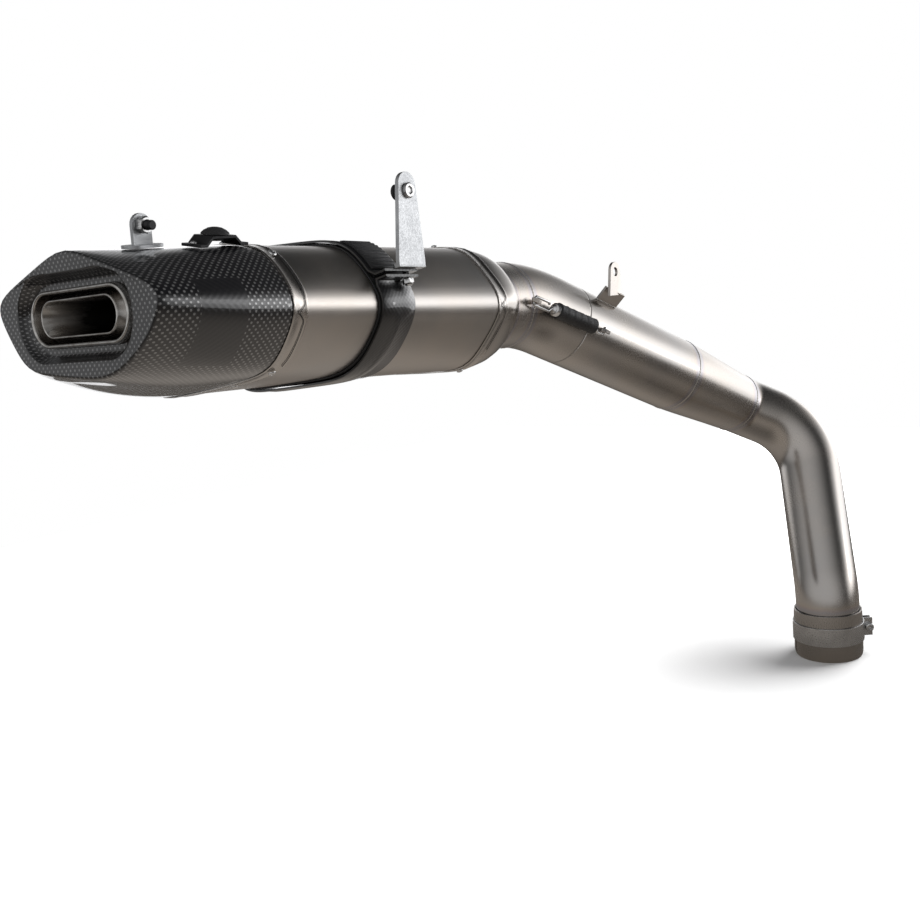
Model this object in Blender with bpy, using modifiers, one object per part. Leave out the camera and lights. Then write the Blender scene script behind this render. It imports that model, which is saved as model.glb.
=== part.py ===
"""Racing exhaust system: hexagonal muffler, slip joint, link pipe and inlet clamp.

Metres, +Z up. The origin is the centre of the inlet's lower end, +Z runs up the inlet, +Y points
forward, from the muffler's outlet to its inlet, and +X is the side that carries the hanger bracket.
"""

import math

import bmesh
import bpy
from mathutils import Matrix, Vector

# ---------------------------------------------------------------- driving dimensions
GAP = 0.0003                    # between pieces that touch
PIPE_OD = 0.060                 # down pipe
LINK_OD = 0.070                 # link pipe and the muffler's inlet tube
TUBE_WALL = 0.0012
SLIP_CLEARANCE = 0.0005         # radial, spigot in inlet tube
SPIGOT_LENGTH = 0.023
SLIP_TRAVEL = 0.010             # how far the muffler can slide off the spigot

SLIP_CENTRE = Vector((-0.1587, -0.2002, 0.3457))        # centre of the slip joint's seam
SLIP_AXIS = Vector((0.243, 0.890, -0.390)).normalized()  # from the muffler to the link
LINK_LENGTH = 0.152             # seam to reducer
REDUCER_LENGTH = 0.100
LEAD_LENGTH = 0.014             # straight part of the down pipe after the reducer
UPPER_BEND = Vector((-0.044, 0.080, 0.209))             # corner of the down pipe's route
LOWER_BEND_HEIGHT = 0.061
LEAD_BEND_RADIUS = 0.035
UPPER_BEND_RADIUS = 0.060
LOWER_BEND_RADIUS = 0.054

MUFFLER_PITCH = 1.6             # degrees, rear end up
BODY_WIDTH = 0.176
REAR_HEIGHT = 0.0945            # the body at its rear and front bands
FRONT_HEIGHT = 0.0965
SHELL_WALL = 0.0010
SLEEVE_LENGTH = 0.208
BAND_WIDTH = 0.012
BAND_WALL = 0.0008
CAP_LENGTH = 0.089              # rear band to the rear face
CAP_WALL = 0.0022
CONE_LENGTH = 0.027             # front band to the inlet tube
INLET_STRAIGHT = 0.027          # straight inlet tube in front of the cone
INLET_REACH = 0.022             # inlet tube inside the cone
INLET_BEND_TANGENT = 0.029
INLET_OFFSET_X = 0.042          # inlet tube's axis from the muffler's
INLET_OFFSET_Z = 0.0015

FACE_WIDTH = 0.158              # rear face of the end cap
FACE_SHIFT = 0.0015             # its centre out from the muffler's axis
FACE_HEIGHT = 0.074
FACE_RISE = 0.0065              # rear face's centre above the muffler's axis
OUTLET_WIDTH = 0.099
OUTLET_HEIGHT = 0.034
OUTLET_RECESS = 0.004           # lip in from the rear face
OUTLET_LENGTH = 0.070
OUTLET_DROP = 0.0005            # outlet's centre below the face's
INSERT_WIDTH = 0.077
INSERT_HEIGHT = 0.0225
INSERT_RECESS = 0.0005          # insert's mouth in from the lip
INSERT_LENGTH = 0.060
FLANGE_DEPTH = 0.009            # insert's flange in from its mouth
CORE_OD = 0.050
HOLE_D = 0.006                  # perforations in the core tube

CLAMP_WIDTH = 0.032
CLAMP_FROM_FRONT = 0.1225       # clamp's middle to the sleeve's front
HANGER_FORWARD = 0.009          # hanger and ear bolt, forward of the clamp's middle
LINING_WALL = 0.0010
LINING_SHARE = 1.08             # lining's width to the clamp's
STRAP_WALL = 0.0016
EAR_DIRECTION = 14.0            # degrees above +X, where the strap is split
EAR_TILT = 12.0
EAR_LENGTH = 0.0150
EAR_GAP = 0.0022

STRAP_FIT = 0.0011              # strap to lining, which follows the muffler's taper
EAR_HOLE_R = 0.0028

HANGER_WALL = 0.003
HANGER_HEIGHT = 0.0510          # foot to the bolt's centre
HANGER_FOOT = 0.0265            # width of its foot
HANGER_TOP_R = 0.0085
HANGER_HOLE_R = 0.0043
HANGER_HOLE_DROP = 0.0035       # its hole below the centre of its round top

REAR_BRACKET_X = 0.022          # from the muffler's axis
REAR_BRACKET_FROM_FACE = 0.0375
REAR_BASE_LENGTH = 0.026
REAR_BASE_WIDTH = 0.014
SEAT_GAP = 0.0006               # under a bracket, on the cap's curved skin
BRIDGE_X = 0.047
BRIDGE_LENGTH = 0.036
BRIDGE_FROM_BAND = 0.0190       # bridge's middle to the rear band

SPRING_OD = 0.0110
SPRING_WIRE = 0.0018
SPRING_SLEEVE_WALL = 0.0016
SPRING_START = -0.048           # its ends, along the slip axis from the seam
SPRING_END = -0.001
SPRINGS = ((-6.0, 0.0085), (174.0, 0.0115))  # angle round the slip axis, height over the tube
LOOP_WIRE = 0.0024
HOOK_THICK = 0.003
MUFFLER_HOOK = 0.0170           # each hook's post from the spring's end
LINK_HOOK = 0.0065
POST_WIDTH = 0.0042
HOOK_SEAT = 0.0003              # a hook's foot over the tube, whose skin is faceted
LINK_BRACKET_S = 0.026          # link bracket's middle, along the slip axis from the seam
LINK_BRACKET_ANGLE = 52.0
LINK_BRACKET_HEIGHT = 0.0165

SOCKET_OD = PIPE_OD + 0.004
SOCKET_WALL = 0.0015
SOCKET_HEIGHT = 0.042
PIPE_DEPTH = 0.016              # down pipe's end, inside the socket
SLOT_WIDTH = 0.003
SLOT_HEIGHT = 0.024
STRAP_BOTTOM = 0.016
STRAP_WIDTH = 0.018
STRAP_THICK = 0.0010
LUG_ANGLE = 36.0
LUG_LENGTH = 0.0085
LUG_GAP = 0.005

RING_POINTS = 40                # points round the muffler's outline
TUBE_POINTS = 24
BOLT_STEPS = 16
CORNER_SHARPNESS = 9            # how crisp the outlines' corners are
FLAT_SHARE = 0.625              # cosine at which a slot outline turns from flat to round

# Flat sides of the outlines: the direction each faces in degrees, and its distance from the
# centre. An outline is scaled to its width and height afterwards, so only the proportions count.
FRONT_SIDES = ((90, 48), (42, 76), (-42, 75), (-90, 49), (-138, 75), (138, 76))
REAR_SIDES = ((88, 47), (42, 79), (-40, 74), (-83, 43), (-140, 74), (138, 79))
FACE_SIDES = ((70, 40), (110, 42), (180, 82), (-144, 60), (-95, 36), (-60, 49), (-12, 76))


# ---------------------------------------------------------------- scene and materials
def clear_scene():
    for thing in list(bpy.data.objects):
        bpy.data.objects.remove(thing, do_unlink=True)


clear_scene()
PARTS = bpy.data.collections.new("racing_exhaust")
CUTTERS = bpy.data.collections.new("cutters")
bpy.context.scene.collection.children.link(PARTS)
bpy.context.scene.collection.children.link(CUTTERS)

FINISHES = {
    "titanium": ((0.46, 0.43, 0.40), 0.34, 1.0),
    "dark_titanium": ((0.22, 0.21, 0.20), 0.38, 1.0),
    "carbon": ((0.015, 0.015, 0.016), 0.18, 0.0),
    "steel": ((0.62, 0.62, 0.62), 0.30, 1.0),
    "aluminium": ((0.60, 0.60, 0.61), 0.42, 1.0),
    "black_steel": ((0.03, 0.03, 0.03), 0.42, 0.6),
    "rubber": ((0.02, 0.02, 0.02), 0.70, 0.0),
    "wool": ((0.55, 0.48, 0.36), 0.95, 0.0),
}


def finish(thing, name):
    """Give the piece its own material in the named finish."""
    colour, roughness, metallic = FINISHES[name]
    material = bpy.data.materials.new(thing.name + "_" + name)
    material.use_nodes = True
    shader = material.node_tree.nodes["Principled BSDF"]
    shader.inputs["Base Color"].default_value = (*colour, 1.0)
    shader.inputs["Roughness"].default_value = roughness
    shader.inputs["Metallic"].default_value = metallic
    thing.data.materials.clear()
    thing.data.materials.append(material)
    return thing


def add_object(name, data, collection=None):
    thing = bpy.data.objects.new(name, data)
    (collection or PARTS).objects.link(thing)
    return thing


def smooth(thing, angle=35.0):
    thing.data.shade_smooth()
    thing.data.set_sharp_from_angle(angle=math.radians(angle))


def from_bmesh(name, bm, collection=None):
    bmesh.ops.recalc_face_normals(bm, faces=bm.faces)
    mesh = bpy.data.meshes.new(name)
    bm.to_mesh(mesh)
    bm.free()
    return add_object(name, mesh, collection)


def make_mesh(thing):
    """Turn a curve object into a welded mesh object with the same name and place."""
    bpy.context.view_layer.update()
    evaluated = thing.evaluated_get(bpy.context.evaluated_depsgraph_get())
    mesh = bpy.data.meshes.new_from_object(evaluated)
    bm = bmesh.new()
    bm.from_mesh(mesh)
    bmesh.ops.remove_doubles(bm, verts=bm.verts, dist=0.000005)
    bm.to_mesh(mesh)
    bm.free()
    name, matrix, collection = thing.name, thing.matrix_world.copy(), thing.users_collection[0]
    bpy.data.objects.remove(thing, do_unlink=True)
    solid = add_object(name, mesh, collection)
    solid.matrix_world = matrix
    return solid


def boolean(thing, other, operation):
    modifier = thing.modifiers.new(operation.lower(), "BOOLEAN")
    modifier.operation = operation
    modifier.solver = "EXACT"
    modifier.object = other
    other.hide_render = True
    other.display_type = "WIRE"
    if other.name in PARTS.objects:
        PARTS.objects.unlink(other)
        CUTTERS.objects.link(other)


# ---------------------------------------------------------------- shape builders
def frame_matrix(origin, along, side):
    """A frame whose Z is `along` and whose X is as near `side` as it can be."""
    z = Vector(along).normalized()
    x = (Vector(side) - z * z.dot(Vector(side))).normalized()
    y = z.cross(x)
    return Matrix.Translation(origin) @ Matrix((x, y, z)).transposed().to_4x4()


def turned(name, profile, matrix, steps=BOLT_STEPS, closed=False, collection=None):
    """A profile of (radius, height) points turned about its own Z."""
    mesh = bpy.data.meshes.new(name)
    edges = [(i, i + 1) for i in range(len(profile) - 1)]
    if closed:
        edges.append((len(profile) - 1, 0))
    mesh.from_pydata([(r, 0.0, z) for r, z in profile], edges, [])
    thing = add_object(name, mesh, collection)
    thing.matrix_world = matrix
    screw = thing.modifiers.new("turn", "SCREW")
    screw.steps = screw.render_steps = steps
    screw.use_merge_vertices = True
    screw.merge_threshold = 0.00001
    screw.use_smooth_shade = True
    return thing


def flat_piece(name, outline, thickness, matrix, holes=(), collection=None):
    """A flat outline with holes, `thickness` thick and centred on the matrix's XY plane."""
    curve = bpy.data.curves.new(name, "CURVE")
    curve.dimensions = "2D"
    curve.fill_mode = "BOTH"
    curve.extrude = thickness / 2
    for points in (outline, *holes):
        spline = curve.splines.new("POLY")
        spline.points.add(len(points) - 1)
        for point, (x, y) in zip(spline.points, points):
            point.co = (x, y, 0.0, 1.0)
        spline.use_cyclic_u = True
    thing = add_object(name, curve, collection)
    thing.matrix_world = matrix
    return make_mesh(thing)


def arc(cx, cy, radius, start, end, count):
    """Points on an arc, angles in degrees."""
    angles = [math.radians(start + (end - start) * i / (count - 1)) for i in range(count)]
    return [(cx + radius * math.cos(a), cy + radius * math.sin(a)) for a in angles]


def circle(cx, cy, radius, count=16):
    return arc(cx, cy, radius, 0, 360 * (count - 1) / count, count)


def hexagon(across_flats):
    return circle(0, 0, across_flats / math.sqrt(3), 6)


def rod(name, points, radius, cyclic=False, resolution=2, collection=None):
    """A round wire along a list of points."""
    curve = bpy.data.curves.new(name, "CURVE")
    curve.dimensions = "3D"
    curve.bevel_depth = radius
    curve.bevel_resolution = resolution
    curve.use_fill_caps = not cyclic
    spline = curve.splines.new("POLY")
    spline.points.add(len(points) - 1)
    for point, co in zip(spline.points, points):
        point.co = (*co, 1.0)
    spline.use_cyclic_u = cyclic
    return make_mesh(add_object(name, curve, collection))


def filleted(corners, radii, step=0.012):
    """A route through corners, each rounded to its bend radius."""
    route = [corners[0]]
    for before, corner, after, radius in zip(corners, corners[1:], corners[2:], radii):
        into = (corner - before).normalized()
        out = (after - corner).normalized()
        angle = into.angle(out)
        tangent = radius * math.tan(angle / 2)
        normal = (out - into * into.dot(out)).normalized()
        start = corner - into * tangent
        count = max(3, round(radius * angle / step))
        for i in range(count + 1):
            turn = angle * i / count
            route.append(start + into * radius * math.sin(turn) + normal * radius * (1 - math.cos(turn)))
    route.append(corners[-1])
    return route


def pipe(name, route, radii, wall, points=TUBE_POINTS):
    """A hollow tube along a route, with an outer radius at each point."""
    bm = bmesh.new()
    rings = []
    side = Vector((1, 0, 0))
    for i, centre in enumerate(route):
        into = (centre - route[max(i - 1, 0)]).normalized()
        out = (route[min(i + 1, len(route) - 1)] - centre).normalized()
        matrix = frame_matrix(centre, into + out, side)
        side = matrix.col[0].to_3d()
        ring = [bm.verts.new(matrix @ Vector((*p, 0))) for p in circle(0, 0, radii[i], points)]
        rings.append(ring)
    for first, second in zip(rings, rings[1:]):
        for i in range(points):
            j = (i + 1) % points
            bm.faces.new((first[i], first[j], second[j], second[i]))
    thing = from_bmesh(name, bm)
    shell = thing.modifiers.new("wall", "SOLIDIFY")
    shell.thickness = wall
    shell.offset = -1.0
    shell.use_even_offset = True
    smooth(thing)
    return thing


def loft(name, rings, closed):
    """Skin rings of equal length; closed joins the last ring to the first, else the ends are capped."""
    bm = bmesh.new()
    loops = [[bm.verts.new(p) for p in ring] for ring in rings]
    pairs = list(zip(loops, loops[1:]))
    if closed:
        pairs.append((loops[-1], loops[0]))
    count = len(loops[0])
    for first, second in pairs:
        for i in range(count):
            j = (i + 1) % count
            bm.faces.new((first[i], first[j], second[j], second[i]))
    if not closed:
        bm.faces.new(loops[0])
        bm.faces.new(loops[-1])
    thing = from_bmesh(name, bm)
    smooth(thing, 40)
    return thing


# ---------------------------------------------------------------- the muffler's outlines
def sided_radius(angle, sides):
    """Distance from the centre to a rounded outline with these flat sides."""
    total = 0.0
    for direction, distance in sides:
        facing = math.cos(angle - math.radians(direction))
        if facing > 0:
            total += (facing / distance) ** CORNER_SHARPNESS
    return total ** (-1 / CORNER_SHARPNESS)


def outline(sides, width, height, count=RING_POINTS):
    """Points (x, z) of an outline that just fills width by height, anticlockwise from +X."""
    raw = []
    for i in range(count):
        turn = 2 * math.pi * i / count
        angle = math.atan2(height * math.sin(turn), width * math.cos(turn))
        radius = sided_radius(angle, sides)
        raw.append((radius * math.cos(angle), radius * math.sin(angle)))
    low_x, high_x = min(x for x, z in raw), max(x for x, z in raw)
    low_z, high_z = min(z for x, z in raw), max(z for x, z in raw)
    scale_x, scale_z = width / (high_x - low_x), height / (high_z - low_z)
    return [((x - (low_x + high_x) / 2) * scale_x, (z - (low_z + high_z) / 2) * scale_z) for x, z in raw]


def stadium(width, height, count=RING_POINTS):
    """Points (x, z) of a slot shape, in step with an outline's."""
    half_flat, radius = (width - height) / 2, height / 2
    points = []
    for i in range(count):
        x, z = math.cos(2 * math.pi * i / count), math.sin(2 * math.pi * i / count)
        if abs(x) < FLAT_SHARE:
            points.append((half_flat * x / FLAT_SHARE, math.copysign(radius, z)))
        else:
            swing = math.asin(z) / math.acos(FLAT_SHARE) * math.pi / 2
            reach = half_flat + radius * math.cos(swing)
            points.append((math.copysign(reach, x), radius * math.sin(swing)))
    return points


# The muffler is built in its own frame, whose origin is the corner of the inlet tube's bend and
# whose Y runs along the muffler. MUFFLER_MATRIX puts it in place.
INLET_CORNER = SLIP_CENTRE - SLIP_AXIS * (SPIGOT_LENGTH + INLET_BEND_TANGENT)
MUFFLER_MATRIX = Matrix.Translation(INLET_CORNER) @ Matrix.Rotation(math.radians(-MUFFLER_PITCH), 4, "X")
MUFFLER_X = -INLET_OFFSET_X
MUFFLER_Z = -INLET_OFFSET_Z
CONE_FRONT_Y = -INLET_BEND_TANGENT - INLET_STRAIGHT
FRONT_BAND_Y = CONE_FRONT_Y - CONE_LENGTH - BAND_WIDTH / 2
SLEEVE_FRONT_Y = FRONT_BAND_Y - GAP / 2
SLEEVE_REAR_Y = SLEEVE_FRONT_Y - SLEEVE_LENGTH
REAR_BAND_Y = SLEEVE_REAR_Y - GAP / 2
FACE_Y = REAR_BAND_Y - BAND_WIDTH / 2 - CAP_LENGTH
OUTLET_Z = MUFFLER_Z + FACE_RISE - OUTLET_DROP
CLAMP_Y = SLEEVE_FRONT_Y - CLAMP_FROM_FRONT


def ring_at(y, points, x=MUFFLER_X, z=MUFFLER_Z):
    return [Vector((x + px, y, z + pz)) for px, pz in points]


def body_outline(y, grow=0.0):
    """The muffler's outline at y, which changes evenly from the rear band to the front band."""
    share = (y - REAR_BAND_Y) / (FRONT_BAND_Y - REAR_BAND_Y)
    rear = outline(REAR_SIDES, BODY_WIDTH + 2 * grow, REAR_HEIGHT + 2 * grow)
    front = outline(FRONT_SIDES, BODY_WIDTH + 2 * grow, FRONT_HEIGHT + 2 * grow)
    return [(rx + (fx - rx) * share, rz + (fz - rz) * share) for (rx, rz), (fx, fz) in zip(rear, front)]


def body_ring(y, grow=0.0):
    return ring_at(y, body_outline(y, grow))


def blend(first, second, share):
    return [a.lerp(b, share) for a, b in zip(first, second)]


def across(y):
    """A frame in the muffler's cross-section at y: its X is +X and its Y is +Z."""
    return Matrix.Translation((MUFFLER_X, y, MUFFLER_Z)) @ Matrix.Rotation(math.pi / 2, 4, "X")


def on_skin(direction, y, out, ring=None):
    """Point and outward normal on the muffler's skin, `out` above it, in a polar direction."""
    points = ring or body_ring(y)
    centre = Vector((MUFFLER_X, y, MUFFLER_Z))
    aim = Vector((math.cos(math.radians(direction)), 0, math.sin(math.radians(direction))))
    best = max(range(len(points)), key=lambda i: (points[i] - centre).normalized().dot(aim))
    for i in (best, best - 1):
        a, b = points[i], points[(i + 1) % len(points)]
        edge = b - a
        normal = Vector((edge.z, 0, -edge.x)).normalized()
        reach = (a - centre).dot(normal) / aim.dot(normal)
        hit = centre + aim * reach
        share = (hit - a).dot(edge) / edge.length_squared
        if -0.001 <= share <= 1.001:
            return hit + normal * out, normal
    return points[best] + aim * out, aim


# ---------------------------------------------------------------- muffler shells
def ring_piece(name, low, high, stations):
    """A shell that follows the muffler's skin, from `low` to `high` outside it, through stations of y."""
    outer = [body_ring(y, high) for y in stations]
    inner = [body_ring(y, low) for y in reversed(stations)]
    return loft(name, outer + inner, True)


def make_sleeve():
    clamp_edge = CLAMP_WIDTH * LINING_SHARE / 2
    stations = (SLEEVE_REAR_Y, REAR_BAND_Y + BAND_WIDTH / 2, CLAMP_Y - clamp_edge, CLAMP_Y + clamp_edge,
                FRONT_BAND_Y - BAND_WIDTH / 2, SLEEVE_FRONT_Y)
    finish(ring_piece("sleeve", -SHELL_WALL, 0.0, stations), "titanium")


def make_bands():
    for name, y in (("rear_band", REAR_BAND_Y), ("front_band", FRONT_BAND_Y)):
        edges = (y - BAND_WIDTH / 2, y + BAND_WIDTH / 2)
        finish(ring_piece(name, GAP, GAP + BAND_WALL, edges), "titanium")


def cap_section(share, grow=0.0):
    """The end cap's section: 0 at the rear band, 1 at the rear face."""
    body = ring_at(0, outline(REAR_SIDES, BODY_WIDTH + 2 * grow, REAR_HEIGHT + 2 * grow))
    face_z = MUFFLER_Z + FACE_RISE
    face = ring_at(0, outline(FACE_SIDES, FACE_WIDTH + 2 * grow, FACE_HEIGHT + 2 * grow),
                   MUFFLER_X + FACE_SHIFT, face_z)
    return blend(body, face, share ** 1.9)


def cap_ring(share, grow, y):
    return [Vector((p.x, y, p.z)) for p in cap_section(share, grow)]


CAP_FRONT_Y = REAR_BAND_Y - GAP / 2


def cap_share(y):
    return max(0.0, min(1.0, (CAP_FRONT_Y - y) / (CAP_FRONT_Y - FACE_Y)))


def make_end_cap():
    outer_shares = (0.0, 0.15, 0.3, 0.45, 0.6, 0.74, 0.86, 0.94)
    edge = 0.004
    outer = [cap_ring(s, 0.0, CAP_FRONT_Y + (FACE_Y - CAP_FRONT_Y) * s) for s in outer_shares]
    outer.append(cap_ring(1.0, -edge * 0.15, FACE_Y + edge * 0.9))
    outer.append(cap_ring(1.0, -edge * 0.45, FACE_Y + edge * 0.25))
    outer.append(cap_ring(1.0, -edge * 1.1, FACE_Y))
    hole_w, hole_h = OUTLET_WIDTH + 2 * GAP, OUTLET_HEIGHT + 2 * GAP
    ridge, pocket = 0.0075, 0.009
    face = [
        ring_at(FACE_Y + 0.0035, stadium(hole_w + 2 * ridge, hole_h + 2 * ridge), z=OUTLET_Z),
        ring_at(FACE_Y + 0.0055, stadium(hole_w + 1.5 * ridge, hole_h + 1.5 * ridge), z=OUTLET_Z),
        ring_at(FACE_Y + pocket, stadium(hole_w + ridge, hole_h + ridge), z=OUTLET_Z),
        ring_at(FACE_Y + pocket, stadium(hole_w, hole_h), z=OUTLET_Z),
        ring_at(FACE_Y + pocket + CAP_WALL, stadium(hole_w, hole_h), z=OUTLET_Z),
        ring_at(FACE_Y + pocket + CAP_WALL, stadium(hole_w + 2.4 * ridge, hole_h + 2.4 * ridge),
                z=OUTLET_Z),
    ]
    inner_shares = (0.9, 0.7, 0.45, 0.2, 0.0)
    inner = [cap_ring(s, -CAP_WALL, CAP_FRONT_Y + (FACE_Y - CAP_FRONT_Y) * s) for s in inner_shares]
    inner[0] = [Vector((p.x, FACE_Y + pocket + CAP_WALL, p.z)) for p in inner[0]]
    finish(loft("end_cap", outer + face + inner, True), "carbon")


def make_outlet():
    lip_y = FACE_Y + OUTLET_RECESS
    end_y = lip_y + OUTLET_LENGTH
    roll = 0.0022
    crown, edge = 0.0014, 0.0004
    profile = [(lip_y + roll, 0), (lip_y + edge, -0.0006), (lip_y, -crown), (lip_y + edge, -roll),
               (lip_y + roll, -roll - edge), (lip_y + 3 * roll, -roll - edge / 2), (end_y, -roll),
               (end_y, 0)]
    rings = [ring_at(y, stadium(OUTLET_WIDTH + 2 * g, OUTLET_HEIGHT + 2 * g), z=OUTLET_Z)
             for y, g in profile]
    finish(loft("outlet_tube", rings, True), "titanium")
    mouth_y = lip_y + INSERT_RECESS
    flange_y = mouth_y + FLANGE_DEPTH
    sheet = 0.0012
    slack = roll + edge + GAP
    wide = (OUTLET_WIDTH - INSERT_WIDTH) / 2 - slack
    tall = (OUTLET_HEIGHT - INSERT_HEIGHT) / 2 - slack
    taper = 0.010
    end = mouth_y + INSERT_LENGTH
    profile = [(mouth_y, 0, 0), (flange_y, wide, tall), (flange_y + sheet, wide, tall),
               (flange_y + sheet, 0, 0), (end, -taper, 0), (end, -taper - sheet, -sheet),
               (mouth_y, -sheet, -sheet)]
    rings = [ring_at(y, stadium(INSERT_WIDTH + 2 * g, INSERT_HEIGHT + 2 * h), z=OUTLET_Z)
             for y, g, h in profile]
    finish(loft("noise_insert", rings, True), "dark_titanium")
    return end_y


def make_cone():
    """The domed front cap, from the hexagonal body to the round inlet tube, as outer then inner skin."""
    back_y = FRONT_BAND_Y + GAP / 2
    bead = LINK_OD / 2 + GAP

    def tube_ring(y, radius):
        points = []
        for px, pz in body_outline(FRONT_BAND_Y):
            turn = math.atan2(pz * BODY_WIDTH / FRONT_HEIGHT, px)
            points.append(Vector((radius * math.cos(turn), y, radius * math.sin(turn))))
        return points

    rim_y = back_y + BAND_WIDTH / 2
    depth = CONE_FRONT_Y - rim_y
    rings = []
    for drop, shares in ((0.0, (0.0, 0.1, 0.28, 0.5, 0.75, 1.0)), (SHELL_WALL, (1.0, 0.6, 0.28, 0.0))):
        side = [body_ring(back_y, -drop), body_ring(rim_y, -drop)]
        dome = []
        for share in shares[1:] if drop == 0 else shares[:-1]:
            turn = share * math.pi / 2
            inward, forward = 1 - math.cos(turn), math.sin(turn)
            edge = body_ring(rim_y, -drop)
            neck = tube_ring(rim_y, bead)
            y = rim_y + depth * forward - drop
            ring = [a.lerp(b, inward) for a, b in zip(edge, neck)]
            dome.append([Vector((p.x, y, p.z)) for p in ring])
        rings += side + dome if drop == 0 else dome + side[::-1]
    finish(loft("inlet_cone", rings, True), "titanium")


def make_inlet_tube():
    start = Vector((0, CONE_FRONT_Y - INLET_REACH, 0))
    end = MUFFLER_MATRIX.inverted() @ (SLIP_CENTRE - SLIP_AXIS * (GAP / 2))
    bend = INLET_BEND_TANGENT / math.tan(end.angle(Vector((0, 1, 0))) / 2)
    route = filleted([start, Vector((0, 0, 0)), end], [bend])
    finish(pipe("inlet_tube", route, [LINK_OD / 2] * len(route), TUBE_WALL), "titanium")
    return route


# ---------------------------------------------------------------- inside the muffler
def make_core(outlet_end_y):
    """The perforated core: round at the inlet, reaching the outlet tube, with the packing round it."""
    front_y = CONE_FRONT_Y - INLET_REACH - 0.004
    rear_y = outlet_end_y + 0.004
    front = Vector((0, front_y, 0))
    rear = Vector((MUFFLER_X, rear_y, OUTLET_Z))
    spread = 0.030
    corners = [rear, rear + Vector((0, spread, 0)), front - Vector((0, spread, 0)), front]
    route = filleted(corners, [0.09, 0.09], 0.02)
    core = pipe("core_tube", route, [CORE_OD / 2] * len(route), TUBE_WALL, 20)
    finish(core, "dark_titanium")
    bores = bmesh.new()
    run = corners[2] - corners[1]
    rows, per_row = 5, 6
    for row in range(rows):
        middle = corners[1] + run * (0.22 + 0.56 * row / (rows - 1))
        for k in range(per_row // 2):
            turn = math.pi * (k + 0.5 * (row % 2)) * 2 / per_row
            sideways = Vector((math.cos(turn), 0, math.sin(turn)))
            place = frame_matrix(middle, sideways, run)
            bmesh.ops.create_cone(bores, cap_ends=True, segments=8, radius1=HOLE_D / 2,
                                  radius2=HOLE_D / 2, depth=CORE_OD * 1.3, matrix=place)
    cutter = from_bmesh("core_perforations", bores, CUTTERS)
    boolean(core, cutter, "DIFFERENCE")
    return route


def make_bulkheads_and_packing(route):
    inner = -SHELL_WALL - GAP
    plate = 0.0015
    rear_y = SLEEVE_REAR_Y + 0.020
    front_y = SLEEVE_FRONT_Y - 0.012

    def core_at(y):
        for a, b in zip(route, route[1:]):
            if min(a.y, b.y) <= y <= max(a.y, b.y):
                return a.lerp(b, (y - a.y) / (b.y - a.y))
        return route[0] if y < route[0].y else route[-1]

    clearance = 0.0012
    for name, y in (("rear_bulkhead", rear_y), ("front_bulkhead", front_y)):
        centre = core_at(y)
        hole = circle(centre.x - MUFFLER_X, centre.z - MUFFLER_Z, CORE_OD / 2 + clearance, 20)
        finish(flat_piece(name, body_outline(y, inner - 0.0002), plate, across(y), [hole]), "titanium")
    low = rear_y + plate / 2 + GAP
    high = front_y - plate / 2 - GAP
    stations = [low + (high - low) * i / 4 for i in range(5)]
    clamp_edge = CLAMP_WIDTH * LINING_SHARE / 2
    outer = [body_ring(y, inner - GAP) for y in (low, CLAMP_Y - clamp_edge, CLAMP_Y + clamp_edge, high)]
    bore = []
    for y in reversed(stations):
        centre = core_at(y)
        ring = []
        for px, pz in body_outline(y):
            turn = math.atan2(pz * BODY_WIDTH / FRONT_HEIGHT, px)
            reach = CORE_OD / 2 + 2 * clearance
            ring.append(Vector((centre.x + reach * math.cos(turn), y, centre.z + reach * math.sin(turn))))
        bore.append(ring)
    finish(loft("packing", outer + bore, True), "wool")


# ---------------------------------------------------------------- fasteners
def bolt(name, place, head_r, head_h, shank_r, length, material="steel"):
    """A cap-head bolt: the head stands above the frame's XY plane, the shank runs below it."""
    edge = head_h * 0.25
    profile = [(0, head_h), (head_r - edge, head_h), (head_r, head_h - edge), (head_r, 0),
               (shank_r, 0), (shank_r, -length), (0, -length)]
    finish(turned(name, profile, place), material)


def rivet(name, point, normal, head_r=0.0026, head_h=0.0013):
    dome = [(head_r * math.sin(t), head_h * math.cos(t)) for t in (0, 0.55, 1.05, math.pi / 2)]
    finish(turned(name, dome + [(0, 0)], frame_matrix(point, normal, Vector((0, 1, 0))), 12), "steel")


def nut(name, place, across_flats, height, bore_r):
    middle = place @ Matrix.Translation((0, 0, height / 2))
    finish(flat_piece(name, hexagon(across_flats), height, middle, [circle(0, 0, bore_r, 12)]), "steel")


def make_rivets():
    out = GAP + BAND_WALL + GAP
    spots = (("rear", REAR_BAND_Y, (28, 62, 150, -30, -62, -150)),
             ("front", FRONT_BAND_Y, (62, -48, 150, -150)))
    for end, y, directions in spots:
        for number, direction in enumerate(directions, 1):
            point, normal = on_skin(direction, y, out)
            rivet(f"{end}_rivet_{number}", point, normal)


# ---------------------------------------------------------------- hanger clamp
HANGER_Y = CLAMP_Y + HANGER_FORWARD
EAR_OUT = Vector((math.cos(math.radians(EAR_TILT)), 0, math.sin(math.radians(EAR_TILT))))
EAR_UP = Vector((-EAR_OUT.z, 0, EAR_OUT.x))
EAR_ROOT = on_skin(EAR_DIRECTION, HANGER_Y, 0.0)[0]
EAR_BOLT_S = EAR_LENGTH * 0.72
EAR_TOP = EAR_GAP / 2 + STRAP_WALL


def ear_point(s, h):
    """A point of the ears' section: `s` out along them, `h` above the split."""
    return EAR_ROOT + EAR_OUT * s + EAR_UP * h


def open_outline(grow, half):
    """The muffler's outline at the clamp, from the split's top round to its bottom."""
    kept = []
    for x, z in body_outline(CLAMP_Y, grow):
        height = (Vector((MUFFLER_X + x, HANGER_Y, MUFFLER_Z + z)) - EAR_ROOT).dot(EAR_UP)
        turn = (math.atan2(z, x) - math.radians(EAR_DIRECTION)) % (2 * math.pi)
        if x < 0 or abs(height) > half:
            kept.append((turn, (x, z)))
    return [point for turn, point in sorted(kept)]


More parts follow.
